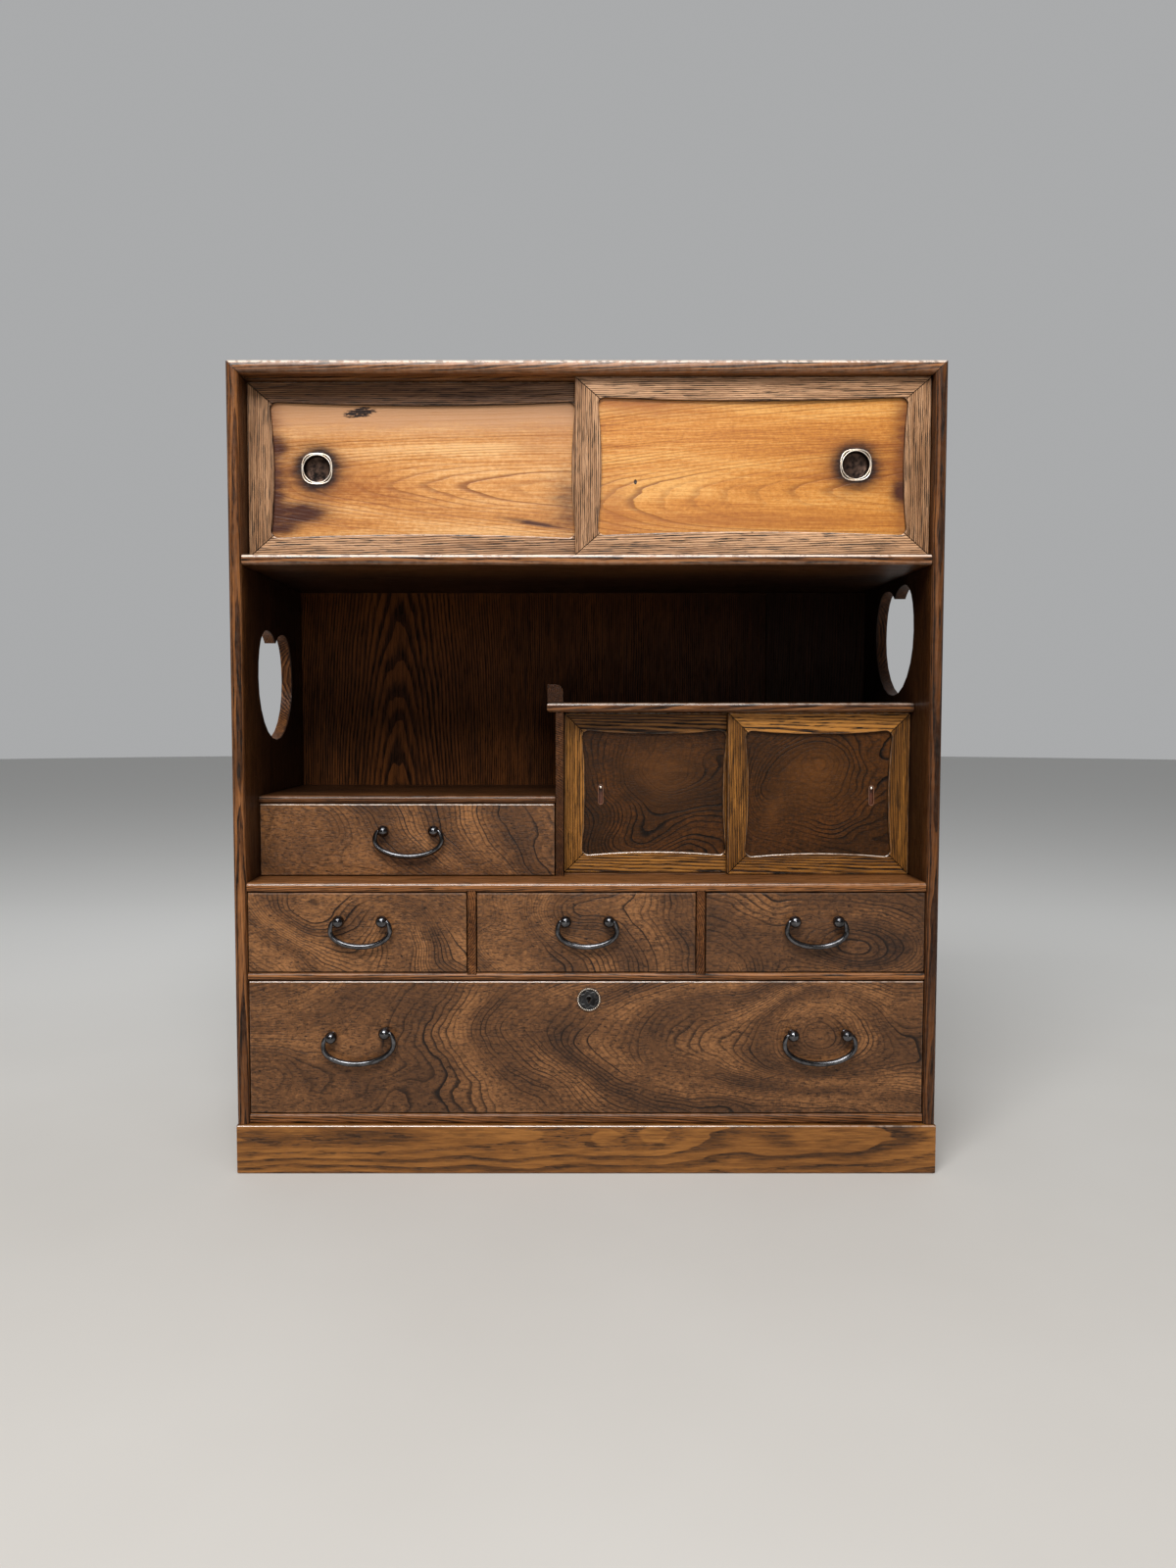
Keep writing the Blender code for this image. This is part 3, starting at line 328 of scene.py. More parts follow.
ground = bmesh.new()
bmesh.ops.create_circle(ground, cap_ends=True, segments=96, radius=14)
floor = object_from(ground, "floor", pale_floor())
floor.location.z = -0.0003
print("floor:", len(floor.data.vertices), "corners")

# %% [markdown]
# ## Solid timber
# The boards and door frames are an open-pored wood, with dark dashes where each year's growth starts. A
# picture of grain wrapped on a board would not agree at its edges. So the wood is solid: every point
# knows where it lay in its own log, along the pith line and across it, from an attribute called grain.
# Rings are the distance from the pith, fibres and pores are noise stretched along it. Three more
# attributes hold the board's own tone, which on some door rails is painted light and on one painted
# shade, its arrises, which go pale from wear and from a painted highlight where they look up, and its
# dark joints and painted shade. Inside the cabinet the wood gets painted shade, darker from the front
# edge inwards.

# %% Timber
# Pale worn arrises, partly a painted highlight where they look up.
WORN_PALE_AND_HIGHLIGHT = (244, 220, 200)
# Painted shade inside the cabinet and on the back.
PAINTED_SHADE_COLOUR = (24, 12, 6)
# Dark joints, and painted shade under the upper shelf and behind the door lips.
JOINT_AND_SHADE_BLACK = (12, 7, 4)
INNER_HALF = 0.352
INNER_TOP = 0.825
INNER_FLOOR = 0.054
FRONT_EDGE = -0.131


def painted_shade_inside(paint):
    """How much painted shade the wood gets: none on the outside, most at the back of the inside."""
    x, y, z = paint.split(paint.place())
    far = x.math("ABSOLUTE")
    between_sides = 1 - paint.step(far, INNER_HALF + 0.0005, INNER_HALF + 0.0025)
    under_top = 1 - paint.step(z, INNER_TOP - 0.001, INNER_TOP + 0.001)
    over_floor = paint.step(z, INNER_FLOOR - 0.002, INNER_FLOOR + 0.002)
    at_wall = paint.step(far, INNER_HALF - 0.007, INNER_HALF - 0.001)
    boards = 1 - paint.step(y, FRONT_EDGE, 0.015) * 0.82
    walls = 1 - at_wall * paint.step(y, FRONT_EDGE, -0.105) * 0.6
    return (1 - boards * walls) * between_sides * under_top * over_floor


# Painted shade on the back boards, darker towards the right, behind the cupboard.
def painted_shade_to_right(paint):
    x, _, _ = paint.split(paint.place())
    return paint.step(x, -0.2, 0.33) * 0.7


def timber(name, tones, ring, wander=1.0, bands=0.6, dashes=0.9, gloss=0.36, shine=0.25, shade=None):
    paint = Paint(name)
    pale, middle, dark, pore = [tint(*tone) for tone in tones]
    grain = paint.attribute("grain", "Vector")
    worn = paint.attribute("arris", "Fac")
    own_tone = paint.attribute("tone", "Fac")
    dirt = paint.attribute("dirt", "Fac")
    _, side, deep = paint.split(grain)
    drift = paint.noise(grain, (2.6, 9, 9), 2.0)
    ripple = paint.noise(grain, (15, 60, 60), 2.0)
    across = paint.vector(0.0, side, deep)
    reach = paint.node("ShaderNodeVectorMath", {"operation": "LENGTH"}, {0: across}, "Value")
    rings = reach / ring + (drift - 0.5) * (5 * wander) + (ripple - 0.5) * 1.1
    share = rings.math("FRACT")
    year = paint.node("ShaderNodeTexWhiteNoise", {"noise_dimensions": "1D"}, {"W": rings.math("FLOOR")})
    early = paint.step(share, 0.0, 0.06) * (1 - paint.step(share, 0.2, 0.7))
    fibre = paint.noise(grain, (10, 480, 480), 3.0, 0.6)
    streak = paint.noise(grain, (14, 210, 210), 3.0, 0.6)
    cloud = paint.noise(grain, (5, 17, 17), 3.0)
    short = paint.step(paint.noise(grain, (110, 1700, 1700), 1.0), 0.52, 0.62)
    long = paint.step(paint.noise(grain, (36, 480, 480), 2.0), 0.53, 0.60)
    open_pores = (short * 0.4 + long * 0.8) * (0.3 + early * 0.7) * dashes
    tone = 0.32 + own_tone + early * (0.4 + year * 0.6) * bands + (fibre - 0.5) * 0.9
    tone = tone + (streak - 0.5) * 0.9 + (cloud - 0.5) * 1.1
    colour = paint.ramp(tone, (0.0, pale), (0.5, middle), (1.0, dark))
    colour = paint.mix(open_pores, colour, pore)
    colour = paint.mix(paint.paled_by_wear_and_highlight(worn), colour, tint(*WORN_PALE_AND_HIGHLIGHT))
    # Dark joints, and painted shade on the faces marked by the same attribute.
    colour = paint.mix(dirt * 0.85, colour, tint(*JOINT_AND_SHADE_BLACK))
    # Painted shade from the board's shade function.
    if shade:
        colour = paint.mix(shade(paint), colour, tint(*PAINTED_SHADE_COLOUR))
    height = (fibre - 0.5) * 0.5 - open_pores - early * 0.25
    rough = gloss + open_pores * 0.2 + (cloud - 0.5) * 0.2 - worn * 0.12
    return paint.waxed(colour, rough, height, 0.0005, shine, worn)


CARCASS = timber("stained_carcass", ((154, 100, 56), (98, 58, 28), (52, 28, 12), (24, 12, 6)),
                 ring=0.0022, bands=0.8, dashes=1.2, shine=0.15, shade=painted_shade_inside)
BACK = timber("dark_back", ((104, 58, 22), (60, 31, 11), (36, 18, 6), (18, 9, 4)),
              ring=0.0026, wander=1.2, bands=0.75, dashes=1.0, gloss=0.55, shine=0.08, shade=painted_shade_to_right)
UPPER_FRAME = timber("brown_frame", ((214, 168, 128), (152, 110, 75), (88, 58, 37), (36, 23, 14)),
                     ring=0.0019, wander=0.25, bands=0.85, dashes=1.4)
LOWER_FRAME = timber("gold_brown_frame", ((184, 124, 54), (126, 80, 29), (60, 35, 13), (20, 11, 5)),
                     ring=0.0018, wander=0.3, bands=1.25, dashes=1.5)
PLINTH = timber("plinth_wood", ((164, 109, 53), (126, 80, 37), (80, 50, 25), (36, 22, 12)),
                ring=0.0125, wander=1.5, dashes=0.8)
BARE = timber("pale_box_wood", ((206, 172, 126), (190, 152, 106), (164, 126, 84), (124, 92, 60)),
              ring=0.0042, bands=0.5, dashes=0.4, gloss=0.6)
print("timbers:", len(bpy.data.materials), "materials so far")

# %% [markdown]
# ## Figured wood
# Drawer fronts and the cupboard's panels are cut from the swirling wood near a root, and the golden
# panels show pointed arches. All of these are contour lines: the cut board meets the yearly layers as a
# map meets hills. So each face gets a gentle slope, some noise, and a few hills, called eyes, where the
# real face has its ovals. The height on that map gives soft light and dark bands, and some thin lines to
# each step. Every line has its own strength, dark on one side and fading on the other, as a year's growth
# does.

# %% Figured wood
def figured(name, tones, slope, eyes, stains=(), knots=(), flow=(1, 1), sway=2.2, lines=1.25, bands=0.16,
            flecks=0.5, clouds=1.0, fibres=(120, 120, 320), streaks=0.45, base=0.45, ticks=6, shine=0.25):
    """Wood whose lines follow hills. An eye holds its centre, half sizes, turn and height, and stains and
    knots a colour after those."""
    paint = Paint(name)
    pale, middle, dark, line = [tint(*tone) for tone in tones]
    place = paint.place()
    worn = paint.attribute("arris", "Fac")
    x, _, z = paint.split(place)
    along = paint.stretch(place, (flow[0], 1, flow[1]))
    large = paint.noise(along, (8, 8, 12), 2.0, 0.45)
    small = paint.noise(along, (60, 60, 95), 2.0)
    map_height = x * slope[0] + z * slope[1] + (large - 0.5) * sway + (small - 0.5) * 0.1
    for eye in eyes:
        map_height = map_height + paint.bulge(place, *eye)
    wave = (map_height * math.pi).math("SINE")
    years = map_height * ticks
    share = years.math("FRACT")
    year = paint.node("ShaderNodeTexWhiteNoise", {"noise_dimensions": "1D"}, {"W": years.math("FLOOR")})
    thin = paint.step(share, 0.52, 0.9) * (1 - paint.step(share, 0.94, 1.0))
    shown = paint.step(paint.noise(along, (11, 11, 16), 2.0), 0.36, 0.62)
    drawn = thin * (0.35 + shown * 0.65) * (0.2 + year * 0.8)
    cloud = paint.noise(along, (9, 9, 14), 4.0, 0.64)
    mottle = paint.noise(place, (210, 210, 260), 3.0, 0.65)
    fibre = paint.noise(along, fibres, 3.0, 0.65)
    fleck = paint.step(paint.noise(place, (190, 190, 800), 1.5), 0.54, 0.62)
    speck = paint.step(paint.noise(place, (330, 330, 420), 1.0), 0.66, 0.72)
    tone = base + (cloud - 0.5) * clouds + wave * bands * (0.3 + shown)
    tone = tone + (fibre - 0.5) * streaks + (mottle - 0.5) * 0.9
    colour = paint.ramp(tone, (0.0, pale), (0.5, middle), (1.0, dark))
    colour = paint.mix(drawn * lines, colour, line)
    colour = paint.mix((fleck + speck) * flecks, colour, line)
    uneven = paint.noise(place, (35, 35, 150), 4.0, 0.7) * 1.6 + 0.2
    for *spot, shade in stains:
        colour = paint.mix(paint.step(paint.bulge(place, *spot) * uneven, 0.0, 1.3), colour, tint(*shade))
    for *spot, shade in knots:
        ragged = paint.noise(place, (110, 110, 520), 3.0, 0.7) * 2.4 - 0.5
        colour = paint.mix(paint.step(paint.bulge(place, *spot) * ragged, 0.35, 0.6), colour, tint(*shade))
    colour = paint.mix(paint.paled_by_wear_and_highlight(worn), colour, tint(*WORN_PALE_AND_HIGHLIGHT))
    height = (fibre - 0.5) * 0.5 + (mottle - 0.5) * 0.3 - fleck * flecks - drawn * 0.8
    rough = 0.32 + fleck * 0.1 + (cloud - 0.5) * 0.25 - worn * 0.08
    return paint.waxed(colour, rough, height, 0.0004, shine, worn)


print("figured wood ready")

# %% [markdown]
# ## From a CAD node to a finished board
# The CAD solids have the right shape, but their arrises are knife sharp. A board that has been handled
# for many years has soft ones that catch the light. Bevel modifiers would do it, but a copy that is
# merged and bevelled in mesh code also marks the faces of its arrises, which go pale from wear and from
# a painted highlight where they look up, and can carry the grain of its own log.

# %% Board tools
MERGE = 0.00002
FLAT = math.radians(0.6)
SHARP = math.radians(32)
CREASE = math.radians(50)
FRONT_ROUND = 0.0016
NARROW = 0.0023
SOFT_ARRIS = 0.0005
FINE_ARRIS = 0.0004
CRISP_ARRIS = 0.0003
LONG_EDGE = 0.05
FRONT_ZONE = 0.002


def merged(node):
    """The node's mesh with its doubles merged and its flat faces joined."""
    source = frame["nodes"][node].data
    shape = bmesh.new()
    corners = [shape.verts.new(vert.co) for vert in source.vertices]
    for face in source.polygons:
        shape.faces.new([corners[index] for index in face.vertices])
    bmesh.ops.remove_doubles(shape, verts=shape.verts, dist=MERGE)
    bmesh.ops.dissolve_limit(shape, angle_limit=FLAT, verts=shape.verts, edges=shape.edges)
    shape.faces.layers.float.new("arris")
    shape.verts.layers.float_vector.new("grain")
    shape.verts.layers.float.new("tone")
    shape.normal_update()
    longest = {face: max(edge.calc_length() for edge in face.edges) for face in shape.faces}
    mark_wear_and_highlight(shape, [face for face in shape.faces if face.calc_area() < NARROW * longest[face]])
    return shape


def mark_wear_and_highlight(shape, faces):
    """Arrises are marked 1 where they look up and less elsewhere; the mark sets their wear and a painted
    highlight.
    """
    worn = shape.faces.layers.float["arris"]
    for face in faces:
        face[worn] = 1.0 if face.normal.z > 0.45 and face.normal.y < -0.3 else 0.35


def sharp_edges(shape, wanted=None):
    found = [edge for edge in shape.edges if len(edge.link_faces) == 2 and edge.is_convex]
    found = [edge for edge in found if edge.calc_face_angle() > SHARP]
    return [edge for edge in found if wanted is None or wanted(edge)]


def break_arrises(shape, width, steps=2, wanted=None):
    """Round the sharp outer edges, and mark the new narrow faces as worn."""
    made = bmesh.ops.bevel(shape, geom=sharp_edges(shape, wanted), offset=width, offset_type="OFFSET",
                           segments=steps, profile=0.5, affect="EDGES", clamp_overlap=False)
    shape.normal_update()
    mark_wear_and_highlight(shape, made["faces"])


def corners_of(shape):
    lowest = Vector([min(vert.co[axis] for vert in shape.verts) for axis in range(3)])
    highest = Vector([max(vert.co[axis] for vert in shape.verts) for axis in range(3)])
    return lowest, highest


def lay_grain(shape, name, pith=None, lean=None, tone=None):
    """Give each point its place in the log: along the pith line, then the two ways across it."""
    dice = random.Random(name)
    lowest, highest = corners_of(shape)
    size = highest - lowest
    order = sorted(range(3), key=lambda axis: -size[axis])
    centre = (lowest + highest) / 2
    side, deep = pith or (dice.uniform(-0.7, 0.7) * size[order[1]], dice.uniform(0.03, 0.09))
    drift, sink = lean or (dice.uniform(-0.03, 0.03), dice.uniform(-0.05, 0.05))
    start = dice.uniform(0, 40)
    own_tone = dice.uniform(-0.1, 0.1) if tone is None else tone
    layer = shape.verts.layers.float_vector["grain"]
    tones = shape.verts.layers.float["tone"]
    for vert in shape.verts:
        along, across, through = [(vert.co - centre)[axis] for axis in order]
        vert[layer] = (along + start, across - side - drift * along, through + deep + sink * along)
        vert[tones] = own_tone


def piece_from(shape, name, body, material):
    """Turn a shape into a smooth shaded piece that rides on its body."""
    for edge in shape.edges:
        edge.smooth = not (len(edge.link_faces) == 2 and edge.calc_face_angle() > CREASE)
    for face in shape.faces:
        face.smooth = True
    piece = object_from(shape, name, material)
    weighted = piece.modifiers.new("even_shading", "WEIGHTED_NORMAL")
    weighted.keep_sharp = True
    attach(piece, body)
    return piece


# How pale and glossy each piece's arrises go: partly wear, partly a painted highlight.
WEAR_AND_HIGHLIGHT = {"top_board": 1.4, "upper_shelf": 1.5, "cupboard_top": 0.95, "drawer_shelf": 0.5,
        "middle_shelf": 0.65, "plinth_front": 0.9, "shelf_drawer_front": 1.3, "large_drawer_front": 1.15,
        "lower_left_door_frame": 1.25, "lower_right_door_frame": 1.25, "upper_left_door_frame": 1.1,
        "upper_right_door_frame": 1.1}
LITTLE_WEAR_AND_HIGHLIGHT = 0.42


def set_wear_and_highlight(shape, node):
    """Scale the arris marks of each piece, which set its wear, gloss and painted highlight."""
    worn = shape.faces.layers.float.get("arris")
    for face in shape.faces if worn else ():
        face[worn] *= WEAR_AND_HIGHLIGHT.get(node, LITTLE_WEAR_AND_HIGHLIGHT)


def finished(node, shape, material):
    """The piece that stands for a node."""
    set_wear_and_highlight(shape, node)
    piece = piece_from(shape, node + "_finished", frame["nodes"][node]["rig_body"], material)
    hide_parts(node)
    return piece


def softened(node, material, arris):
    """A node with all its arrises softened alike."""
    shape = merged(node)
    break_arrises(shape, arris)
    return finished(node, shape, material)


def front_edges(shape):
    """A test for the long front arrises, which hands and cloths have rounded most."""
    front = corners_of(shape)[0].y + FRONT_ZONE
    return lambda edge: edge.calc_length() > LONG_EDGE and all(vert.co.y < front for vert in edge.verts)


def board(node, material, arris=SOFT_ARRIS, pith=None, lean=None, tone=None, underside_shade=0.0):
    """A board with soft arrises. The faces that look down get this share of painted shade."""
    shape = merged(node)
    break_arrises(shape, FRONT_ROUND, 3, front_edges(shape))
    break_arrises(shape, arris)
    dirt = shape.faces.layers.float.new("dirt")
    for face in shape.faces:
        face[dirt] = underside_shade if face.normal.z < -0.9 else 0.0
    lay_grain(shape, node, pith, lean, tone)
    return finished(node, shape, material)


print("board tools ready")

# %% [markdown]
# ## Carcass
# Sides, top, shelves and uprights are boards of one stained wood, each cut from its own place in a log.
# The place is drawn at random, with the board's name as the seed, so it is the same each time. The tone
# is set for each board, and the ceiling of the niche gets painted shade.

# %% Carcass boards
CARCASS_TONES = {"left_side": 0.0, "right_side": 0.25, "top_board": -0.25, "upper_shelf": -0.2,
                 "middle_shelf": -0.4, "lower_shelf": -0.25, "bottom_board": -0.2, "drawer_shelf": -0.1,
                 "cupboard_wall": 0.2, "cupboard_top": 0.0, "brush_stop": 0.6, "drawer_divider_left": 0.0,
                 "drawer_divider_right": 0.1}
# Painted shade on the faces that look down: the niche's ceiling under the upper shelf.
UNDERSIDE_SHADE = {"upper_shelf": 0.6}
carcass = [board(node, CARCASS, tone=tone, underside_shade=UNDERSIDE_SHADE.get(node, 0.0))
           for node, tone in CARCASS_TONES.items()]
print("carcass:", sum(len(piece.data.polygons) for piece in carcass), "faces on", len(carcass), "boards")

# %% [markdown]
# ## Back and plinth
# The back is two dark, dry boards with tall arches, lapped right of the middle. The plinth is four
# lighter boards whose grain runs in long tongues from left to right, because the log's pith climbs
# through the board.

# %% Back boards and plinth
PLINTH_ARRIS = 0.0006

backs = [board("back_board_wide", BACK, pith=(-0.17, 0.07), lean=(0.01, 0.06), tone=-0.15),
         board("back_board_narrow", BACK, pith=(0.12, 0.08), lean=(0.02, 0.02), tone=0.2)]
plinth = [board("plinth_front", PLINTH, PLINTH_ARRIS, pith=(0.012, 0.03),
                lean=(0.008, 0.065))]
for side in ("back", "left", "right"):
    plinth.append(board("plinth_" + side, PLINTH, PLINTH_ARRIS))
print("back:", len(backs), "boards, plinth:", len(plinth), "boards")

# %% [markdown]
# ## Drawer boxes
# Behind each front is a plain box of bare softwood: two sides, a back and a bottom. In the CAD model it
# is one solid. Sawing a copy of it along its inner faces gives four boards back, each with its own grain.

# %% Drawer boxes
BOX_WALL = 0.007
SAW = 0.0001


def sawn(source, *cuts):
    """A copy of a shape, cut by planes given as a point and the way to the waste, with its ends closed."""
    shape = source.copy()
    for point, waste in cuts:
        geometry = shape.verts[:] + shape.edges[:] + shape.faces[:]
        bmesh.ops.bisect_plane(shape, geom=geometry, plane_co=point, plane_no=waste, clear_outer=True)
        ends = bmesh.ops.holes_fill(shape, edges=[edge for edge in shape.edges if edge.is_boundary])
        dirt = shape.faces.layers.float.get("dirt")
        for face in ends["faces"] if dirt else ():
            face[dirt] = 1.0
    shape.normal_update()
    return shape


def joined(shapes):
    """Several shapes in one, still loose from each other."""
    whole = bmesh.new()
    for shape in shapes:
        carrier = bpy.data.meshes.new("carrier")
        shape.to_mesh(carrier)
        shape.free()
        whole.from_mesh(carrier)
        bpy.data.meshes.remove(carrier)
    return whole


def drawer_box(node):
    source = merged(node)
    lowest, highest = corners_of(source)
    left, right, rear = lowest.x + BOX_WALL, highest.x - BOX_WALL, highest.y - BOX_WALL
    x_way, y_way = Vector((1, 0, 0)), Vector((0, 1, 0))
    between = [(Vector((left + SAW, 0, 0)), -x_way), (Vector((right - SAW, 0, 0)), x_way)]
    boards = [sawn(source, (Vector((left, 0, 0)), x_way)), sawn(source, (Vector((right, 0, 0)), -x_way)),
              sawn(source, *between, (Vector((0, rear, 0)), -y_way)),
              sawn(source, *between, (Vector((0, rear - SAW, 0)), y_way))]
    source.free()
    for number, shape in enumerate(boards):
        break_arrises(shape, FINE_ARRIS)
        lay_grain(shape, f"{node}_{number}")
    return finished(node, joined(boards), BARE)


DRAWERS = ["shelf_drawer", "small_drawer_left", "small_drawer_middle", "small_drawer_right", "large_drawer"]
boxes = [drawer_box(drawer + "_box") for drawer in DRAWERS]
print("drawer boxes:", [len(piece.data.polygons) for piece in boxes], "faces")

# %% [markdown]
# ## Drawer fronts
# Each front has its own figure. The wide front has arches that lie on their side and open to the right,
# an eye round its right handle and a fan of lines at its left end. The right small front has a bull's-eye
# beside its handle.

# %% Drawer fronts
FRONT_TONES = ((166, 114, 70), (106, 70, 42), (56, 37, 25), (28, 17, 11))
# For each front: the map's slope, the front's own tone, then its eyes.
FIGURES = {
    "shelf_drawer": ((22, 30), 0.48, [
        ((-0.03, 0.300), (0.14, 0.06), 30, 2.5), ((-0.33, 0.315), (0.10, 0.05), 10, 2.5)]),
    "small_drawer_left": ((18, 24), 0.40, [
        ((-0.30, 0.277), (0.06, 0.04), 30, 2), ((-0.19, 0.25), (0.03, 0.05), 0, -2)]),
    "small_drawer_middle": ((30, 5), 0.46, [
        ((-0.026, 0.276), (0.05, 0.03), 0, 2), ((-0.09, 0.235), (0.05, 0.02), 20, 1.5)]),
    "small_drawer_right": ((-5, 6), 0.62, [
        ((0.2925, 0.2343), (0.085, 0.042), 8, 3.2), ((0.135, 0.19), (0.06, 0.07), 0, 4)]),
    "large_drawer": ((13, 0), 0.51, [
        ((0.13, 0.135), (0.25, 0.07), 3, 4.2), ((0.25, 0.165), (0.055, 0.055), 0, 2.4),
        ((-0.355, 0.096), (0.09, 0.07), 0, 3.4), ((-0.30, 0.21), (0.11, 0.04), -12, -2),
        ((-0.25, 0.050), (0.08, 0.03), -20, 1.5), ((0.27, 0.065), (0.16, 0.03), 4, -2)]),
}


def drawer_front(drawer):
    slope, base, eyes = FIGURES[drawer]
    figure = figured(drawer + "_figure", FRONT_TONES, slope, eyes, base=base)
    return softened(drawer + "_front", figure, FINE_ARRIS)


fronts = [drawer_front(drawer) for drawer in DRAWERS]
print("drawer fronts:", [piece.name for piece in fronts])

# %% [markdown]
# ## Door frames
# A frame is two stiles and two rails, mitred at the corners. The CAD frame is one solid, so a copy is
# sawn at each mitre, and the grain turns the corner as it does in a real frame. Stiles are
# straight-grained. The inner lip that stands in front of the panel gets a rounder edge, which draws the
# bright line at the bottom of each panel by its gloss and by a painted highlight on the arris that looks
# up. The inner walls behind the lip get painted shade.

# %% Door frames
SILL_TONGUE = 0.0035
HEAD_TONGUE = 0.0046
LIP_ROUND = 0.0014
MITRE = 0.0004
LIP_SHARE = 0.6
STILE_LOG = ((0.12, 0.02), (0.006, 0.002))
RAIL_LOG = ((-0.02, 0.04), (0.012, 0.02))


def mitred_frame(node, stile, rail, slot, material, tones):
    """A frame in four members, with dark joints, and painted shade on the inner edges behind the lip."""
    source = merged(node)
    lowest, highest = corners_of(source)
    low, high = lowest.z + SILL_TONGUE, highest.z - HEAD_TONGUE
    left, right = lowest.x + stile * LIP_SHARE, highest.x - stile * LIP_SHARE
    foot, head = low + rail * LIP_SHARE, high - rail * LIP_SHARE

    def within(point):
        return left < point.x < right and foot < point.z < head

    def lip(edge):
        flat = all(vert.co.y < lowest.y + 0.0002 for vert in edge.verts)
        return flat and within((edge.verts[0].co + edge.verts[1].co) / 2)

    break_arrises(source, LIP_ROUND, 4, lip)
    dirt = source.faces.layers.float.new("dirt")
    # Painted shade on the inner walls of the opening, behind the lip.
    for face in source.faces:
        upright = abs(face.normal.y) < 0.3
        face[dirt] = 1.0 if upright and within(face.calc_center_median()) else 0.0
    saws = {}
    for x, x_way in ((lowest.x, 1), (highest.x, -1)):
        for z, z_way in ((low, 1), (high, -1)):
            towards_rail = Vector((rail * x_way, 0, -stile * z_way)).normalized()
            saws[x_way, z_way] = (Vector((x, 0, z)), towards_rail)

    def cut(corner, keep_stile):
        point, towards_rail = saws[corner]
        waste = towards_rail if keep_stile else -towards_rail
        return point - waste * MITRE, waste

    members = [sawn(source, cut((way, 1), True), cut((way, -1), True)) for way in (1, -1)]
    members += [sawn(source, cut((1, way), False), cut((-1, way), False)) for way in (1, -1)]
    source.free()
    for number, shape in enumerate(members):
        mark = shape.faces.layers.float["dirt"]
        break_arrises(shape, CRISP_ARRIS, 2, lambda edge: not any(face[mark] for face in edge.link_faces))
        pith, lean = STILE_LOG if number < 2 else RAIL_LOG
        lay_grain(shape, f"{node}_{number}", pith, lean, tones[number])
    return finished(node, joined(members), material)


# The tone of the left stile, the right stile, the foot rail and the head rail of each door. The upper
# doors' foot rails are lighter as painted light, the upper-left head rail is darker as painted shade
# under the top board, and the upper-right and lower-right head rails are lighter as painted light.
FRAME_TONES_AND_LIGHT = {"upper_left": (0.1, 0.1, -0.2, 0.45), "upper_right": (0.1, 0.1, -0.2, -0.2),
               "lower_left": (-0.27, 0.03, -0.33, 0.08), "lower_right": (0.15, 0.03, 0.08, -0.58)}
# The width of stiles and of rails, then the slot and the wood.
UPPER = (0.0235, 0.0205, "upper_frame_wood", UPPER_FRAME)
LOWER = (0.0195, 0.0195, "lower_frame_wood", LOWER_FRAME)
frames = []
for door, tones in FRAME_TONES_AND_LIGHT.items():
    members = UPPER if door.startswith("upper") else LOWER
    frames.append(mitred_frame(door + "_door_frame", *members, tones))
print("door frames:", [len(piece.data.polygons) for piece in frames], "faces")

# %% [markdown]
# ## Panels
# The cupboard's panels are dark burl with a bull's-eye in the upper middle. The upper doors have golden
# boards with arches that open to the right. Hands have darkened them round the finger cups, and one has a
# black knot.

# %% Panels
BURL_TONES = ((100, 58, 24), (62, 36, 14), (38, 21, 8), (12, 7, 4))
# The left board's tones are paler and less orange than the right's, as a painted sheen.
GOLD_TONES_AND_SHEEN = {"left": ((234, 182, 122), (206, 143, 78), (164, 98, 44), (112, 56, 22)),
              "right": ((228, 170, 96), (202, 133, 58), (160, 92, 34), (108, 54, 18))}
SMOKE = (72, 38, 26)
AMBER = (162, 96, 42)
# Painted shade along the top of the left golden panel.
TOP_SHADE_DUN = (194, 144, 102)
UMBER = (112, 62, 30)
KNOT = (40, 22, 14)
EYE = (108, 66, 30)
DUSK = (28, 17, 10)
LEFT_CUP = -0.2804
RIGHT_CUP = 0.2763

BURLS = {
    "left": {"slope": (14, 10),
             "eyes": [((0.083, 0.415), (0.060, 0.052), 0, 2.4), ((0.05, 0.34), (0.06, 0.03), -15, 1.8)],
             "stains": [((0.083, 0.417), (0.050, 0.040), 0, 0.55, EYE),
                        ((0.058, 0.398), (0.024, 0.009), 30, 0.5, DUSK)]},
    "right": {"slope": (8, 6),
              "eyes": [((0.251, 0.414), (0.056, 0.056), 0, 2.6), ((0.19, 0.388), (0.03, 0.05), 10, 1.8)],
              "stains": [((0.251, 0.414), (0.044, 0.040), 0, 0.6, EYE),
                         ((0.205, 0.376), (0.013, 0.026), 20, 0.5, EYE)]},
}
burls = []
for side, figure in BURLS.items():
    burl = figured(f"burl_{side}", BURL_TONES, **figure, sway=2.4, lines=1.5, bands=0.08, flecks=0.35,
                   clouds=1.3, fibres=(480, 480, 120), streaks=0.5, shine=0.15)
    burls.append(softened(f"lower_{side}_door_panel", burl, CRISP_ARRIS))
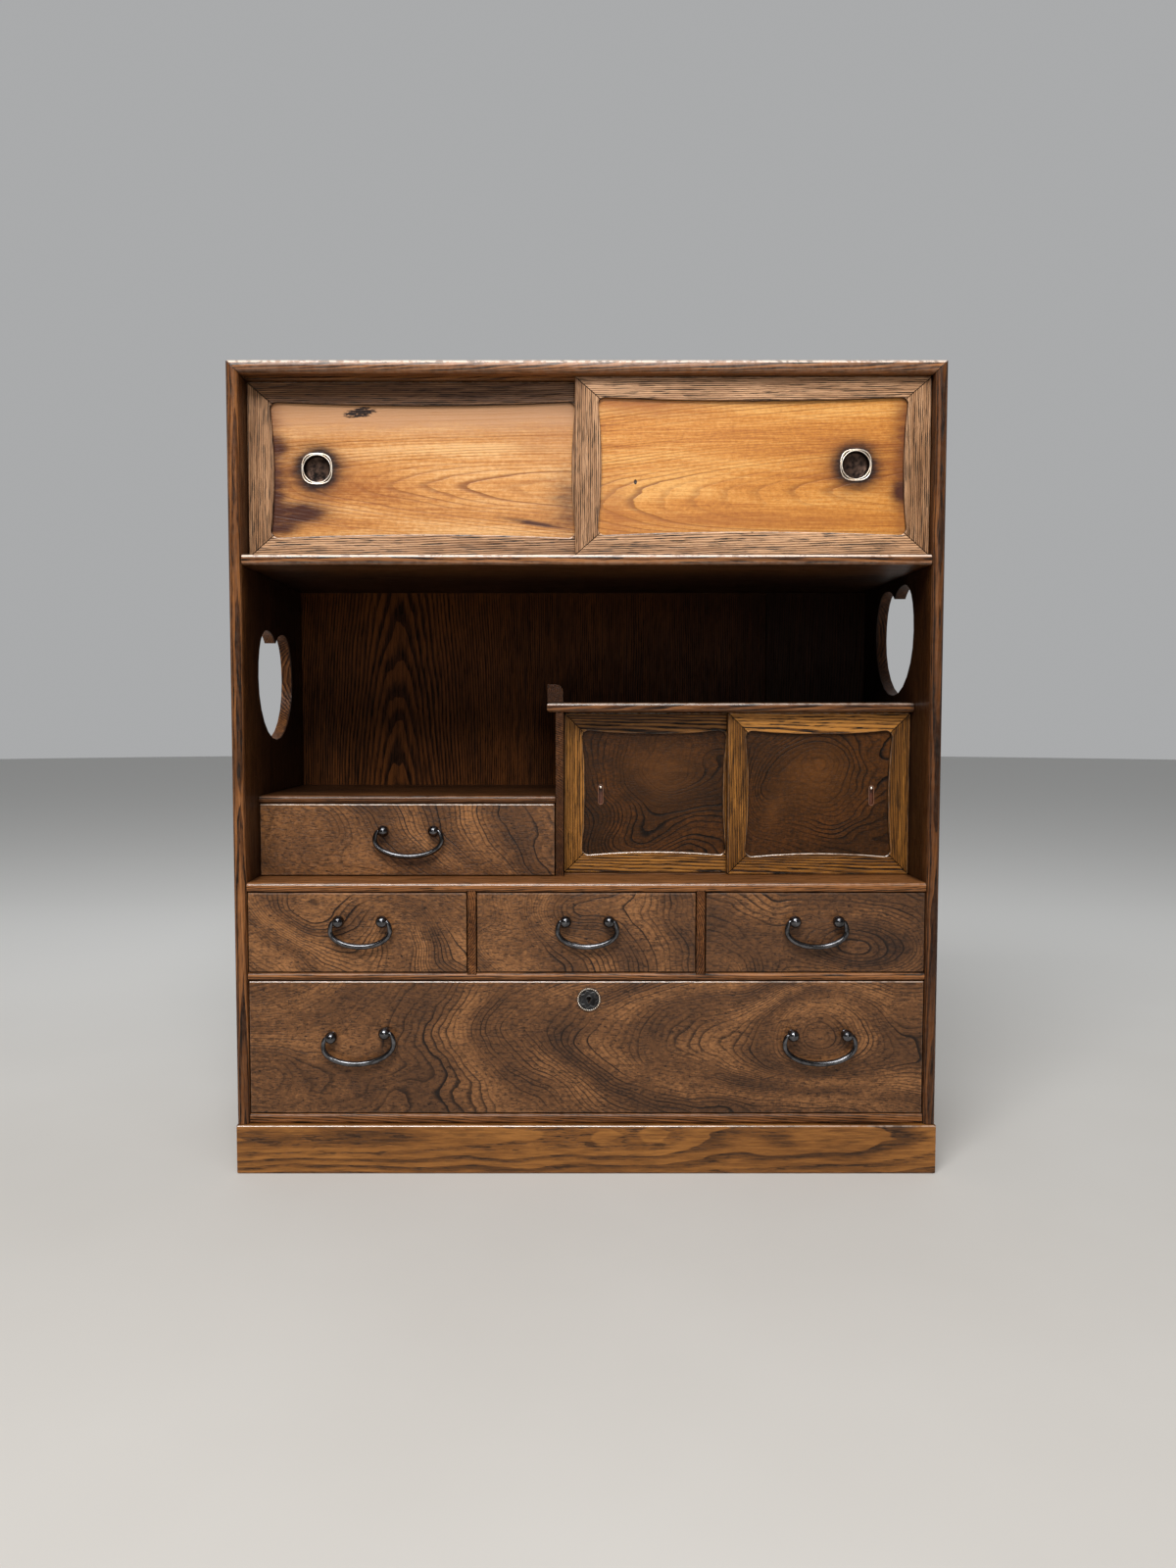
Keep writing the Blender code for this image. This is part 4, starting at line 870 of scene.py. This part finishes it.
# The stains at (-0.18, 0.806), (-0.18, 0.797) and (0.22, 0.81) lie along the panels' tops and are painted
# shade under the top board. The last stain of each panel is a black ring just outside the cup's plate.
GOLDS = {
    "left": {"slope": (4, 0), "eyes": [((-0.05, 0.712), (0.9, 0.09), 2, 10)], "stains": [
        ((LEFT_CUP, 0.7346), (0.07, 0.045), 0, 0.6, AMBER), ((-0.18, 0.806), (0.3, 0.026), 0, 1.0, AMBER),
        ((-0.18, 0.797), (0.5, 0.026), 0, 1.4, TOP_SHADE_DUN), ((-0.04, 0.760), (0.05, 0.02), 0, 0.6, AMBER),
        ((-0.338, 0.735), (0.022, 0.11), 0, 1.2, UMBER), ((-0.015, 0.70), (0.03, 0.04), 0, 0.8, SMOKE),
        ((-0.055, 0.6785), (0.035, 0.003), 10, 1.1, SMOKE),
        ((-0.3030, 0.689), (0.036, 0.012), 0, 1.5, SMOKE),
        ((-0.324, 0.757), (0.016, 0.012), 0, 1.3, SMOKE), ((-0.329, 0.712), (0.018, 0.045), 0, 1.3, SMOKE),
        ((-0.322, 0.675), (0.024, 0.010), 0, 1.3, SMOKE),
        ((LEFT_CUP, 0.7320), (0.029, 0.025), 0, 1.5, SMOKE),
        ((LEFT_CUP, 0.7340), (0.0185, 0.0185), 0, 3.0, KNOT)],
        "knots": [((-0.2348, 0.7923), (0.017, 0.005), -6, 1.6, KNOT)]},
    "right": {"slope": (4, 0), "eyes": [((0.25, 0.704), (0.9, 0.09), -2, 10)], "stains": [
        ((RIGHT_CUP, 0.7346), (0.06, 0.04), 0, 0.6, AMBER), ((0.0438, 0.797), (0.09, 0.016), 4, 0.9, AMBER),
        ((0.332, 0.745), (0.020, 0.09), 0, 1.3, UMBER), ((0.15, 0.678), (0.2, 0.010), 0, 0.7, AMBER),
        ((0.325, 0.7076), (0.012, 0.012), 0, 1.6, SMOKE), ((0.030, 0.69), (0.018, 0.04), 0, 0.7, AMBER),
        ((0.22, 0.81), (0.12, 0.012), 0, 0.7, AMBER), ((RIGHT_CUP, 0.7330), (0.027, 0.023), 0, 1.5, SMOKE),
        ((RIGHT_CUP, 0.7340), (0.0180, 0.0180), 0, 3.0, KNOT)],
        "knots": [((0.0503, 0.7175), (0.0014, 0.0022), 0, 2.0, KNOT)]},
}
golds = []
for side, figure in GOLDS.items():
    gold = figured(f"golden_{side}", GOLD_TONES_AND_SHEEN[side], **figure, flow=(0.25, 1.6), sway=1.15, lines=0.8,
                   bands=0.12, flecks=0.12, clouds=2.0, fibres=(60, 60, 420), streaks=1.35, base=0.42,
                   ticks=4)
    golds.append(softened(f"upper_{side}_door_panel", gold, CRISP_ARRIS))
print("panels:", [piece.name for piece in burls + golds])

# %% [markdown]
# ## Metals
# The handles and the lock are blackened iron, polished by hands on the high places. The rims of the
# finger cups and the beads of the key plate are a pale worn metal, and the cups inside are tarnished
# almost black with brown.

# %% Metals
def metal(name, bright, dull, rough, spread=0.25, grime=900):
    paint = Paint(name)
    place = paint.place()
    cloud = paint.noise(place, (140, 140, 140), 4.0, 0.6)
    pits = paint.step(paint.noise(place, (grime, grime, grime), 2.0), 0.6, 0.7)
    share = paint.step(cloud, 0.35, 0.7)
    colour = paint.mix(share, tint(*bright), tint(*dull))
    colour = paint.mix(pits * 0.5, colour, tint(*dull))
    height = cloud * 0.5 - pits
    return paint.surface(colour, rough + share * spread + pits * 0.2, height, 0.00003, {"Metallic": 1.0})


IRON = metal("polished_iron", (108, 108, 111), (64, 63, 64), rough=0.14, spread=0.05, grime=1500)
RIM = metal("pale_rim_metal", (255, 248, 236), (240, 216, 190), rough=0.3, spread=0.12)
TARNISH = metal("tarnished_cup", (82, 64, 54), (28, 24, 23), rough=0.4)
PLATE = metal("dark_plate", (64, 64, 66), (34, 33, 33), rough=0.32)
RELIEF = metal("rubbed_relief", (104, 103, 102), (46, 45, 44), rough=0.34)
print("metals ready")

# %% [markdown]
# ## Bail handles
# A bail is a wire that leaves one ball, turns down in a tight hook, hangs in a wide curve, thicker at its
# middle, and ends in the other ball. Its path is a rule of three lengths, so Geometry Nodes make it: a
# line is bent by the rule and swept with a circle whose size follows the path.

# %% Rule trees
WIRE_STEPS = 20
WELD = 0.000002


def baked(holder):
    """The mesh that an object's modifiers make."""
    graph = bpy.context.evaluated_depsgraph_get()
    return bpy.data.meshes.new_from_object(holder.evaluated_get(graph))


def placed(shape, place):
    """A shape with its faces turned outwards, moved to its place."""
    bmesh.ops.recalc_face_normals(shape, faces=shape.faces)
    bmesh.ops.transform(shape, matrix=place, verts=shape.verts)
    return shape


class Rule(Bench):
    """A Geometry Nodes tree with named inputs."""

    def __init__(self, name, **inputs):
        super().__init__(bpy.data.node_groups.new(name, "GeometryNodeTree"))
        kinds = {"material": "NodeSocketMaterial"}
        face = self.tree.interface
        self.sockets = {}
        for label, kind in inputs.items():
            socket_type = kinds.get(kind, "NodeSocketFloat")
            self.sockets[label] = face.new_socket(label, in_out="INPUT", socket_type=socket_type)
        face.new_socket("Geometry", in_out="OUTPUT", socket_type="NodeSocketGeometry")
        entry = self.tree.nodes.new("NodeGroupInput")
        self.given = {label: Signal(self, entry.outputs[label]) for label in inputs}

    def end(self, geometry):
        real = self.node("GeometryNodeRealizeInstances", {}, {"Geometry": geometry})
        coat = {"Geometry": real, "Material": self.given["finish"]}
        painted = self.node("GeometryNodeSetMaterial", {}, coat)
        out = self.tree.nodes.new("NodeGroupOutput")
        self.feed(out.inputs["Geometry"], painted)

    def round_path(self):
        """The angle on the way round a closed path, with its cosine and its sine."""
        angle = self.node("GeometryNodeSplineParameter") * (2 * math.pi)
        return angle, angle.math("COSINE"), angle.math("SINE")

    def sweep(self, x, y, z, points, wire, cyclic=False):
        """A wire of varying thickness along a path that is given by its three coordinates."""
        if cyclic:
            line = self.node("GeometryNodeCurvePrimitiveCircle", {"mode": "RADIUS"}, {"Resolution": points})
        else:
            straight = self.node("GeometryNodeCurvePrimitiveLine", {}, {"End": (1.0, 0.0, 0.0)})
            line = self.node("GeometryNodeResampleCurve", {}, {"Curve": straight, "Count": points})
        path = {"Geometry": line, "Position": self.vector(x, y, z)}
        bent = self.node("GeometryNodeSetPosition", {}, path)
        section = {"Resolution": WIRE_STEPS, "Radius": 1.0}
        round_wire = self.node("GeometryNodeCurvePrimitiveCircle", {"mode": "RADIUS"}, section)
        skin = {"Curve": bent, "Profile Curve": round_wire, "Scale": wire, "Fill Caps": True}
        return self.node("GeometryNodeCurveToMesh", {}, skin)

    def make(self, name, place, **values):
        """Run the tree, keep its result as a plain mesh at its place, and drop the modifier."""
        carrier = bpy.data.objects.new(name, bpy.data.meshes.new(name + "_seed"))
        scene.collection.objects.link(carrier)
        modifier = carrier.modifiers.new(self.tree.name, "NODES")
        modifier.node_group = self.tree
        for label, value in values.items():
            modifier[self.sockets[label].identifier] = value
        mesh = baked(carrier)
        carrier.modifiers.clear()
        shape = bmesh.new()
        shape.from_mesh(mesh)
        bmesh.ops.remove_doubles(shape, verts=shape.verts, dist=WELD)
        for face in placed(shape, place).faces:
            face.smooth = True
        shape.to_mesh(mesh)
        shape.free()
        mesh.name = name
        carrier.data = mesh
        return carrier


print("rule trees ready")

# %% Bails
HOOK_DROP = 0.0095
HOOK_START = 0.0045
PIN = 0.0008
HOOK_SHARE = 0.74
PIN_SHARE = 0.913
BAIL_WIRE = 0.0029
BAIL_POINTS = 141

bail_rule = Rule("bail_rule", half_pitch="length", hook="length", drop="length", wire="length",
                 finish="material")
given = bail_rule.given
travel = bail_rule.node("GeometryNodeSplineParameter")
sway = travel * 2 - 1
far = sway.math("ABSOLUTE")
side = sway.math("SIGN")
fall = far / HOOK_SHARE * (math.pi / 2)
turn = (1 - (far - HOOK_SHARE) / (PIN_SHARE - HOOK_SHARE)) * (math.pi / 2)
in_hook = far > HOOK_SHARE
in_pin = far > PIN_SHARE
belly = given["drop"] - HOOK_DROP - given["wire"]
low_x = (given["half_pitch"] + given["hook"]) * fall.math("SINE")
low_z = -(belly * fall.math("COSINE")) - HOOK_DROP
hook_x = given["half_pitch"] + HOOK_START + (given["hook"] - HOOK_START) * turn.math("SINE")
hook_z = (turn.math("COSINE") - 1) * HOOK_DROP
pin_x = given["half_pitch"] + HOOK_START - (far - PIN_SHARE) / (1 - PIN_SHARE) * (HOOK_START + PIN)
path_x = low_x + in_hook * (hook_x - low_x) + in_pin * (pin_x - hook_x)
path_z = (low_z + in_hook * (hook_z - low_z)) * (1 - in_pin)
thick = given["wire"] * (1 - 0.38 * far ** 3.6)
bail_rule.end(bail_rule.sweep(side * path_x, 0.0, path_z, BAIL_POINTS, thick))

# Half the pitch of the posts, the reach of the hook past them, and the drop.
BAIL_SIZES = {"small": (0.0225, 0.0082, 0.029), "shelf": (0.0270, 0.0089, 0.0302),
              "large": (0.02775, 0.0089, 0.0325)}
hinges = {joint["name"]: joint for joint in frame["joints"] if joint["name"].endswith("_bail_hinge")}
places = {}
for name, hinge in hinges.items():
    bail = name.removesuffix("_hinge")
    tilt = math.atan2(-hinge["axis"][2], -hinge["axis"][0])
    places[bail] = Matrix.Translation(hinge["pos_m"]) @ Matrix.Rotation(-tilt, 4, "Y")
    half_pitch, hook, drop = BAIL_SIZES[bail.split("_")[0]]
    piece = bail_rule.make(bail + "_wire", places[bail], half_pitch=half_pitch, hook=hook, drop=drop,
                           wire=BAIL_WIRE, finish=IRON)
    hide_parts(bail)
    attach(piece, bail)
print("bails:", len(places), "of", len(piece.data.polygons), "faces")

# %% [markdown]
# ## Handle posts
# The bail's ends turn in two ball-headed posts, with a collar on the drawer's face and a shank through
# it. A lathe makes them from a profile, and the flared hole for the wire is cut with a Boolean, because
# it lies across.

# %% Posts
def turned(profile, steps, place):
    """Spin a profile of radius and height round its axis. The ends of the profile lie on the axis."""
    shape = bmesh.new()
    angles = [2 * math.pi * k / steps for k in range(steps)]
    rings = []
    for radius, height in profile:
        around = angles if radius else angles[:1]
        rings.append([shape.verts.new((radius * math.cos(angle), radius * math.sin(angle), height))
                      for angle in around])
    for lower, upper in zip(rings, rings[1:]):
        for k in range(steps):
            corners = ((lower, k), (lower, k + 1), (upper, k + 1), (upper, k))
            loop = [ring[number % len(ring)] for ring, number in corners]
            shape.faces.new(list(dict.fromkeys(loop)))
    return placed(shape, place)


BALL = 0.0063
STAND = 0.0081
POST_STEPS = 40
BORE_STEPS = 28
ball_turns = [math.radians(degrees) for degrees in range(31, 180, 6)]
ball_arc = [(BALL * math.sin(turn), STAND - BALL * math.cos(turn)) for turn in ball_turns]
POST_FOOT = [(0, -0.0150), (0.0018, -0.0150), (0.0022, -0.0146), (0.0022, 0.0003), (0.0044, 0.0003),
             (0.0048, 0.0007), (0.0047, 0.0012), (0.0042, 0.0015), (0.0034, 0.0019)]
POST = POST_FOOT + ball_arc + [(0, STAND + BALL)]
BORE = [(0, -0.0011), (0.0022, -0.0011), (0.0042, 0.0063), (0.0050, 0.0090), (0, 0.0090)]
OUT_OF_FACE = Matrix.Rotation(math.radians(90), 4, "X")
SIDES = {"left": -1, "right": 1}


def bored_post(name, way):
    """A post at the origin of its ball, with the wire's hole on one side."""
    blank = object_from(turned(POST, POST_STEPS, OUT_OF_FACE @ Matrix.Translation((0, 0, -STAND))), name)
    across = Matrix.Rotation(math.radians(90 * way), 4, "Y")
    drill = object_from(turned(BORE, BORE_STEPS, across), name + "_drill")
    cut = blank.modifiers.new("bore", "BOOLEAN")
    cut.operation = "DIFFERENCE"
    cut.solver = "EXACT"
    cut.object = drill
    mesh = baked(blank)
    for part in (blank, drill):
        bpy.data.objects.remove(part)
    return mesh


post_meshes = {side: bored_post("post_" + side, way) for side, way in SIDES.items()}
for bail, place in places.items():
    handle = bail.removesuffix("_bail")
    half_pitch = BAIL_SIZES[bail.split("_")[0]][0]
    for side, way in SIDES.items():
        node = f"{handle}_post_{side}"
        shape = bmesh.new()
        shape.from_mesh(post_meshes[side])
        at_post = place @ Matrix.Translation((way * half_pitch, 0, 0))
        bmesh.ops.transform(shape, matrix=at_post, verts=shape.verts)
        finished(node, shape, IRON)
print("posts:", 2 * len(places))

# %% [markdown]
# ## Finger cups
# Each upper door is pushed by a round cup let into the panel, in a plate like a rounded square. Two pale
# rims stand up: one follows the plate's edge and one the cup, and they touch at the middle of each side.
# The rims are one rule, a circle pulled towards a square, swept as a wire. The cup itself is a stack of
# rings from rim to floor.

# %% Finger cups
CUP_HEIGHT = 0.73455
CUP_STEPS = 72
RIM_POINTS = 120
PLATE_HALF = 0.0160
SQUARE = 2.7


def rounded_square(half, squareness, angle):
    across, up = math.cos(angle), math.sin(angle)
    reach = (abs(across) ** squareness + abs(up) ** squareness) ** (-1 / squareness)
    return half * reach * across, half * reach * up


def stacked(loops, place):
    """Skin a stack of closed loops, with a cap at each end."""
    shape = bmesh.new()
    rings = [[shape.verts.new((x, y, height)) for x, y in outline] for outline, height in loops]
    for lower, upper in zip(rings, rings[1:]):
        for k in range(len(lower)):
            after = (k + 1) % len(lower)
            shape.faces.new((lower[k], lower[after], upper[after], upper[k]))
    shape.faces.new(rings[0])
    shape.faces.new(rings[-1])
    return placed(shape, place)


rim_rule = Rule("rim_rule", half="length", squareness="number", wire="length", finish="material")
given = rim_rule.given
_, over, up = rim_rule.round_path()
total = over.math("ABSOLUTE") ** given["squareness"] + up.math("ABSOLUTE") ** given["squareness"]
reach = given["half"] * total ** (-1 / given["squareness"])
rim_rule.end(rim_rule.sweep(over * reach, up * reach, 0.0, RIM_POINTS, given["wire"], True))

CIRCLE = [2 * math.pi * k / CUP_STEPS for k in range(CUP_STEPS)]
# Half width, squareness and height of each ring, from the cup's back round its rim to its floor.
CUP_LOOPS = [(0.0116, 2, -0.00775), (0.0134, 2, -0.0072), (0.0139, 2, -0.0062), (0.0139, 2, 0.00005),
             (PLATE_HALF, SQUARE, 0.00005), (PLATE_HALF, SQUARE, 0.0006),
             (PLATE_HALF - 0.0003, SQUARE, 0.0008), (0.0149, 2, 0.0008), (0.0145, 2, 0.0011),
             (0.0140, 2, 0.0009), (0.0137, 2, 0.0002), (0.0136, 2, -0.0042), (0.0128, 2, -0.0058),
             (0.0104, 2, -0.0066), (0.004, 2, -0.0069)]
# Half width, squareness, wire and height of each rim.
RIMS = {"plate_rim": (0.0156, SQUARE, 0.0007, 0.0008), "cup_rim": (0.0145, 2.0, 0.0006, 0.0011)}
# The place across and the panel's face.
CUPS = {"left": (LEFT_CUP, -0.0965), "right": (RIGHT_CUP, -0.1145)}
for side, (x, face) in CUPS.items():
    node = f"upper_{side}_door_finger_cup"
    place = Matrix.Translation((x, face, CUP_HEIGHT)) @ OUT_OF_FACE
    loops = [([rounded_square(half, bend, angle) for angle in CIRCLE], height)
             for half, bend, height in CUP_LOOPS]
    cup = finished(node, stacked(loops, place), TARNISH)
    for part, (half, bend, wire, rise) in RIMS.items():
        lift = place @ Matrix.Translation((0, 0, rise))
        rim = rim_rule.make(f"{side}_{part}", lift, half=half, squareness=bend, wire=wire, finish=RIM)
        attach(rim, f"upper_{side}_door")
print("finger cups:", len(cup.data.polygons), "faces and", len(rim.data.polygons), "on a rim")

# %% [markdown]
# ## Slot pulls
# The cupboard's doors have a small upright slot for a finger nail, lined with reddish wood, with a bright
# worn stud at its upper end.

# %% Slot pulls
SLOT_HEIGHT = 0.3911
HALF_WIDTH = 0.0026
HALF_HEIGHT = 0.01085
# The place across and the panel's face.
SLOTS = {"left": (0.0170, -0.0455), "right": (0.3115, -0.0615)}
STUD = 0.0019
STUD_RISE = 0.0018
STUD_STEPS = 24
STUD_PLACE = (0, 0.0080, -0.0004)


def slot_outline(grow, steps=12):
    """The slot's outline, grown by this much on every side."""
    radius = HALF_WIDTH + grow
    straight = HALF_HEIGHT - HALF_WIDTH
    turns = [math.pi * k / steps for k in range(steps + 1)]
    top = [(radius * math.cos(turn), straight + radius * math.sin(turn)) for turn in turns]
    return top + [(-x, -y) for x, y in top]


def red_liner():
    """Reddish wood, with the lip worn pale."""
    paint = Paint("red_liner")
    worn = paint.attribute("arris", "Fac")
    grain = paint.noise(paint.place(), (500, 500, 60), 3.0)
    colour = paint.mix(grain, tint(116, 62, 36), tint(62, 32, 20))
    colour = paint.mix(worn * (grain * 0.5), colour, tint(176, 136, 108))
    return paint.surface(colour, 0.3 + grain * 0.2, grain, 0.0002)


LINER = red_liner()
stud_turns = [math.radians(degrees) for degrees in range(15, 170, 15)]
stud_arc = [(STUD * math.sin(turn), -STUD_RISE * math.cos(turn)) for turn in stud_turns]
STUD_PROFILE = [(0, -STUD_RISE)] + stud_arc + [(0, STUD_RISE)]
for side, (x, face) in SLOTS.items():
    place = Matrix.Translation((x, face, SLOT_HEIGHT)) @ OUT_OF_FACE
    outer, inner, lip, mouth = [slot_outline(grow) for grow in (0.0, -0.0006, 0.0003, -0.0002)]
    tray = stacked([(outer, -0.0050), (outer, 0.0), (lip, 0.0001), (lip, 0.0004), (mouth, 0.0005),
                    (inner, 0.0001), (inner, -0.0040)], place)
    worn = tray.faces.layers.float.new("arris")
    for rim_face in tray.faces:
        rim_face[worn] = 1.0 if min(vert.co.y for vert in rim_face.verts) < face - 0.0003 else 0.0
    liner = piece_from(tray, f"lower_{side}_slot_liner", f"lower_{side}_door", LINER)
    stud = turned(STUD_PROFILE, STUD_STEPS, place @ Matrix.Translation(STUD_PLACE))
    piece_from(stud, f"lower_{side}_slot_stud", f"lower_{side}_door", RIM)
print("slot pulls:", len(SLOTS), "with", len(liner.data.polygons), "faces on a liner")

# %% [markdown]
# ## Lock
# The wide drawer has a lock behind a small round plate with a ring of beads and a keyhole like a drop.
# The beads repeat, so Geometry Nodes set one on each point of a circle. Two more wires lie on the plate,
# each from its own rule: a raised border round the keyhole, and a wreath of seven lobes. The lock case
# and its bolt are iron.

# %% Lock
KEY_PLACE = Matrix.Translation((0.0027, -0.1288, 0.1833)) @ OUT_OF_FACE
PLATE_FLOOR = 0.0015
BEADS = 34
LOBES = 7
BORDER_POINTS = 72
WREATH_POINTS = 140
METAL_ARRIS = 0.0002


def on_plate(up, out):
    """A place on the key plate, so far above its middle and so far out of the drawer's face."""
    return KEY_PLACE @ Matrix.Translation((0, up, out))


bead_rule = Rule("bead_rule", ring="length", bead="length", finish="material")
given = bead_rule.given
circle = bead_rule.node("GeometryNodeMeshCircle", {}, {"Vertices": BEADS, "Radius": given["ring"]})
bead = bead_rule.node("GeometryNodeMeshUVSphere", {}, {"Segments": 12, "Rings": 8, "Radius": given["bead"]})
bead_rule.end(bead_rule.node("GeometryNodeInstanceOnPoints", {}, {"Points": circle, "Instance": bead}))

border_rule = Rule("border_rule", half="length", foot="length", wire="length", finish="material")
given = border_rule.given
_, over, up = border_rule.round_path()
above = up > 0
drop = above * up * given["half"] - (1 - above) * (1 - over.math("ABSOLUTE")) * given["foot"]
border_rule.end(border_rule.sweep(over * given["half"], drop, 0.0, BORDER_POINTS, given["wire"], True))

wreath_rule = Rule("wreath_rule", ring="length", lobe="length", wire="length", finish="material")
given = wreath_rule.given
angle, over, up = wreath_rule.round_path()
reach = given["ring"] + (angle * LOBES).math("COSINE") * given["lobe"]
wreath_rule.end(wreath_rule.sweep(over * reach, up * reach, 0.0, WREATH_POINTS, given["wire"], True))

for node in ("key_plate", "lock_case", "lock_bolt"):
    softened(node, PLATE if node == "key_plate" else IRON, METAL_ARRIS)
beads = bead_rule.make("key_plate_beads", on_plate(0, 0.0021), ring=0.0113, bead=0.0008, finish=RIM)
border = border_rule.make("keyhole_border", on_plate(0.0006, PLATE_FLOOR), half=0.0031, foot=0.0058,
                          wire=0.0006, finish=RELIEF)
wreath = wreath_rule.make("key_plate_wreath", on_plate(0, PLATE_FLOOR), ring=0.0081, lobe=0.0012,
                          wire=0.0005, finish=RELIEF)
for piece, slot in ((beads, "cup_metal"), (border, "polished_iron"), (wreath, "polished_iron")):
    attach(piece, "large_drawer")
print("lock:", [len(piece.data.polygons) for piece in (beads, border, wreath)], "faces on the plate")
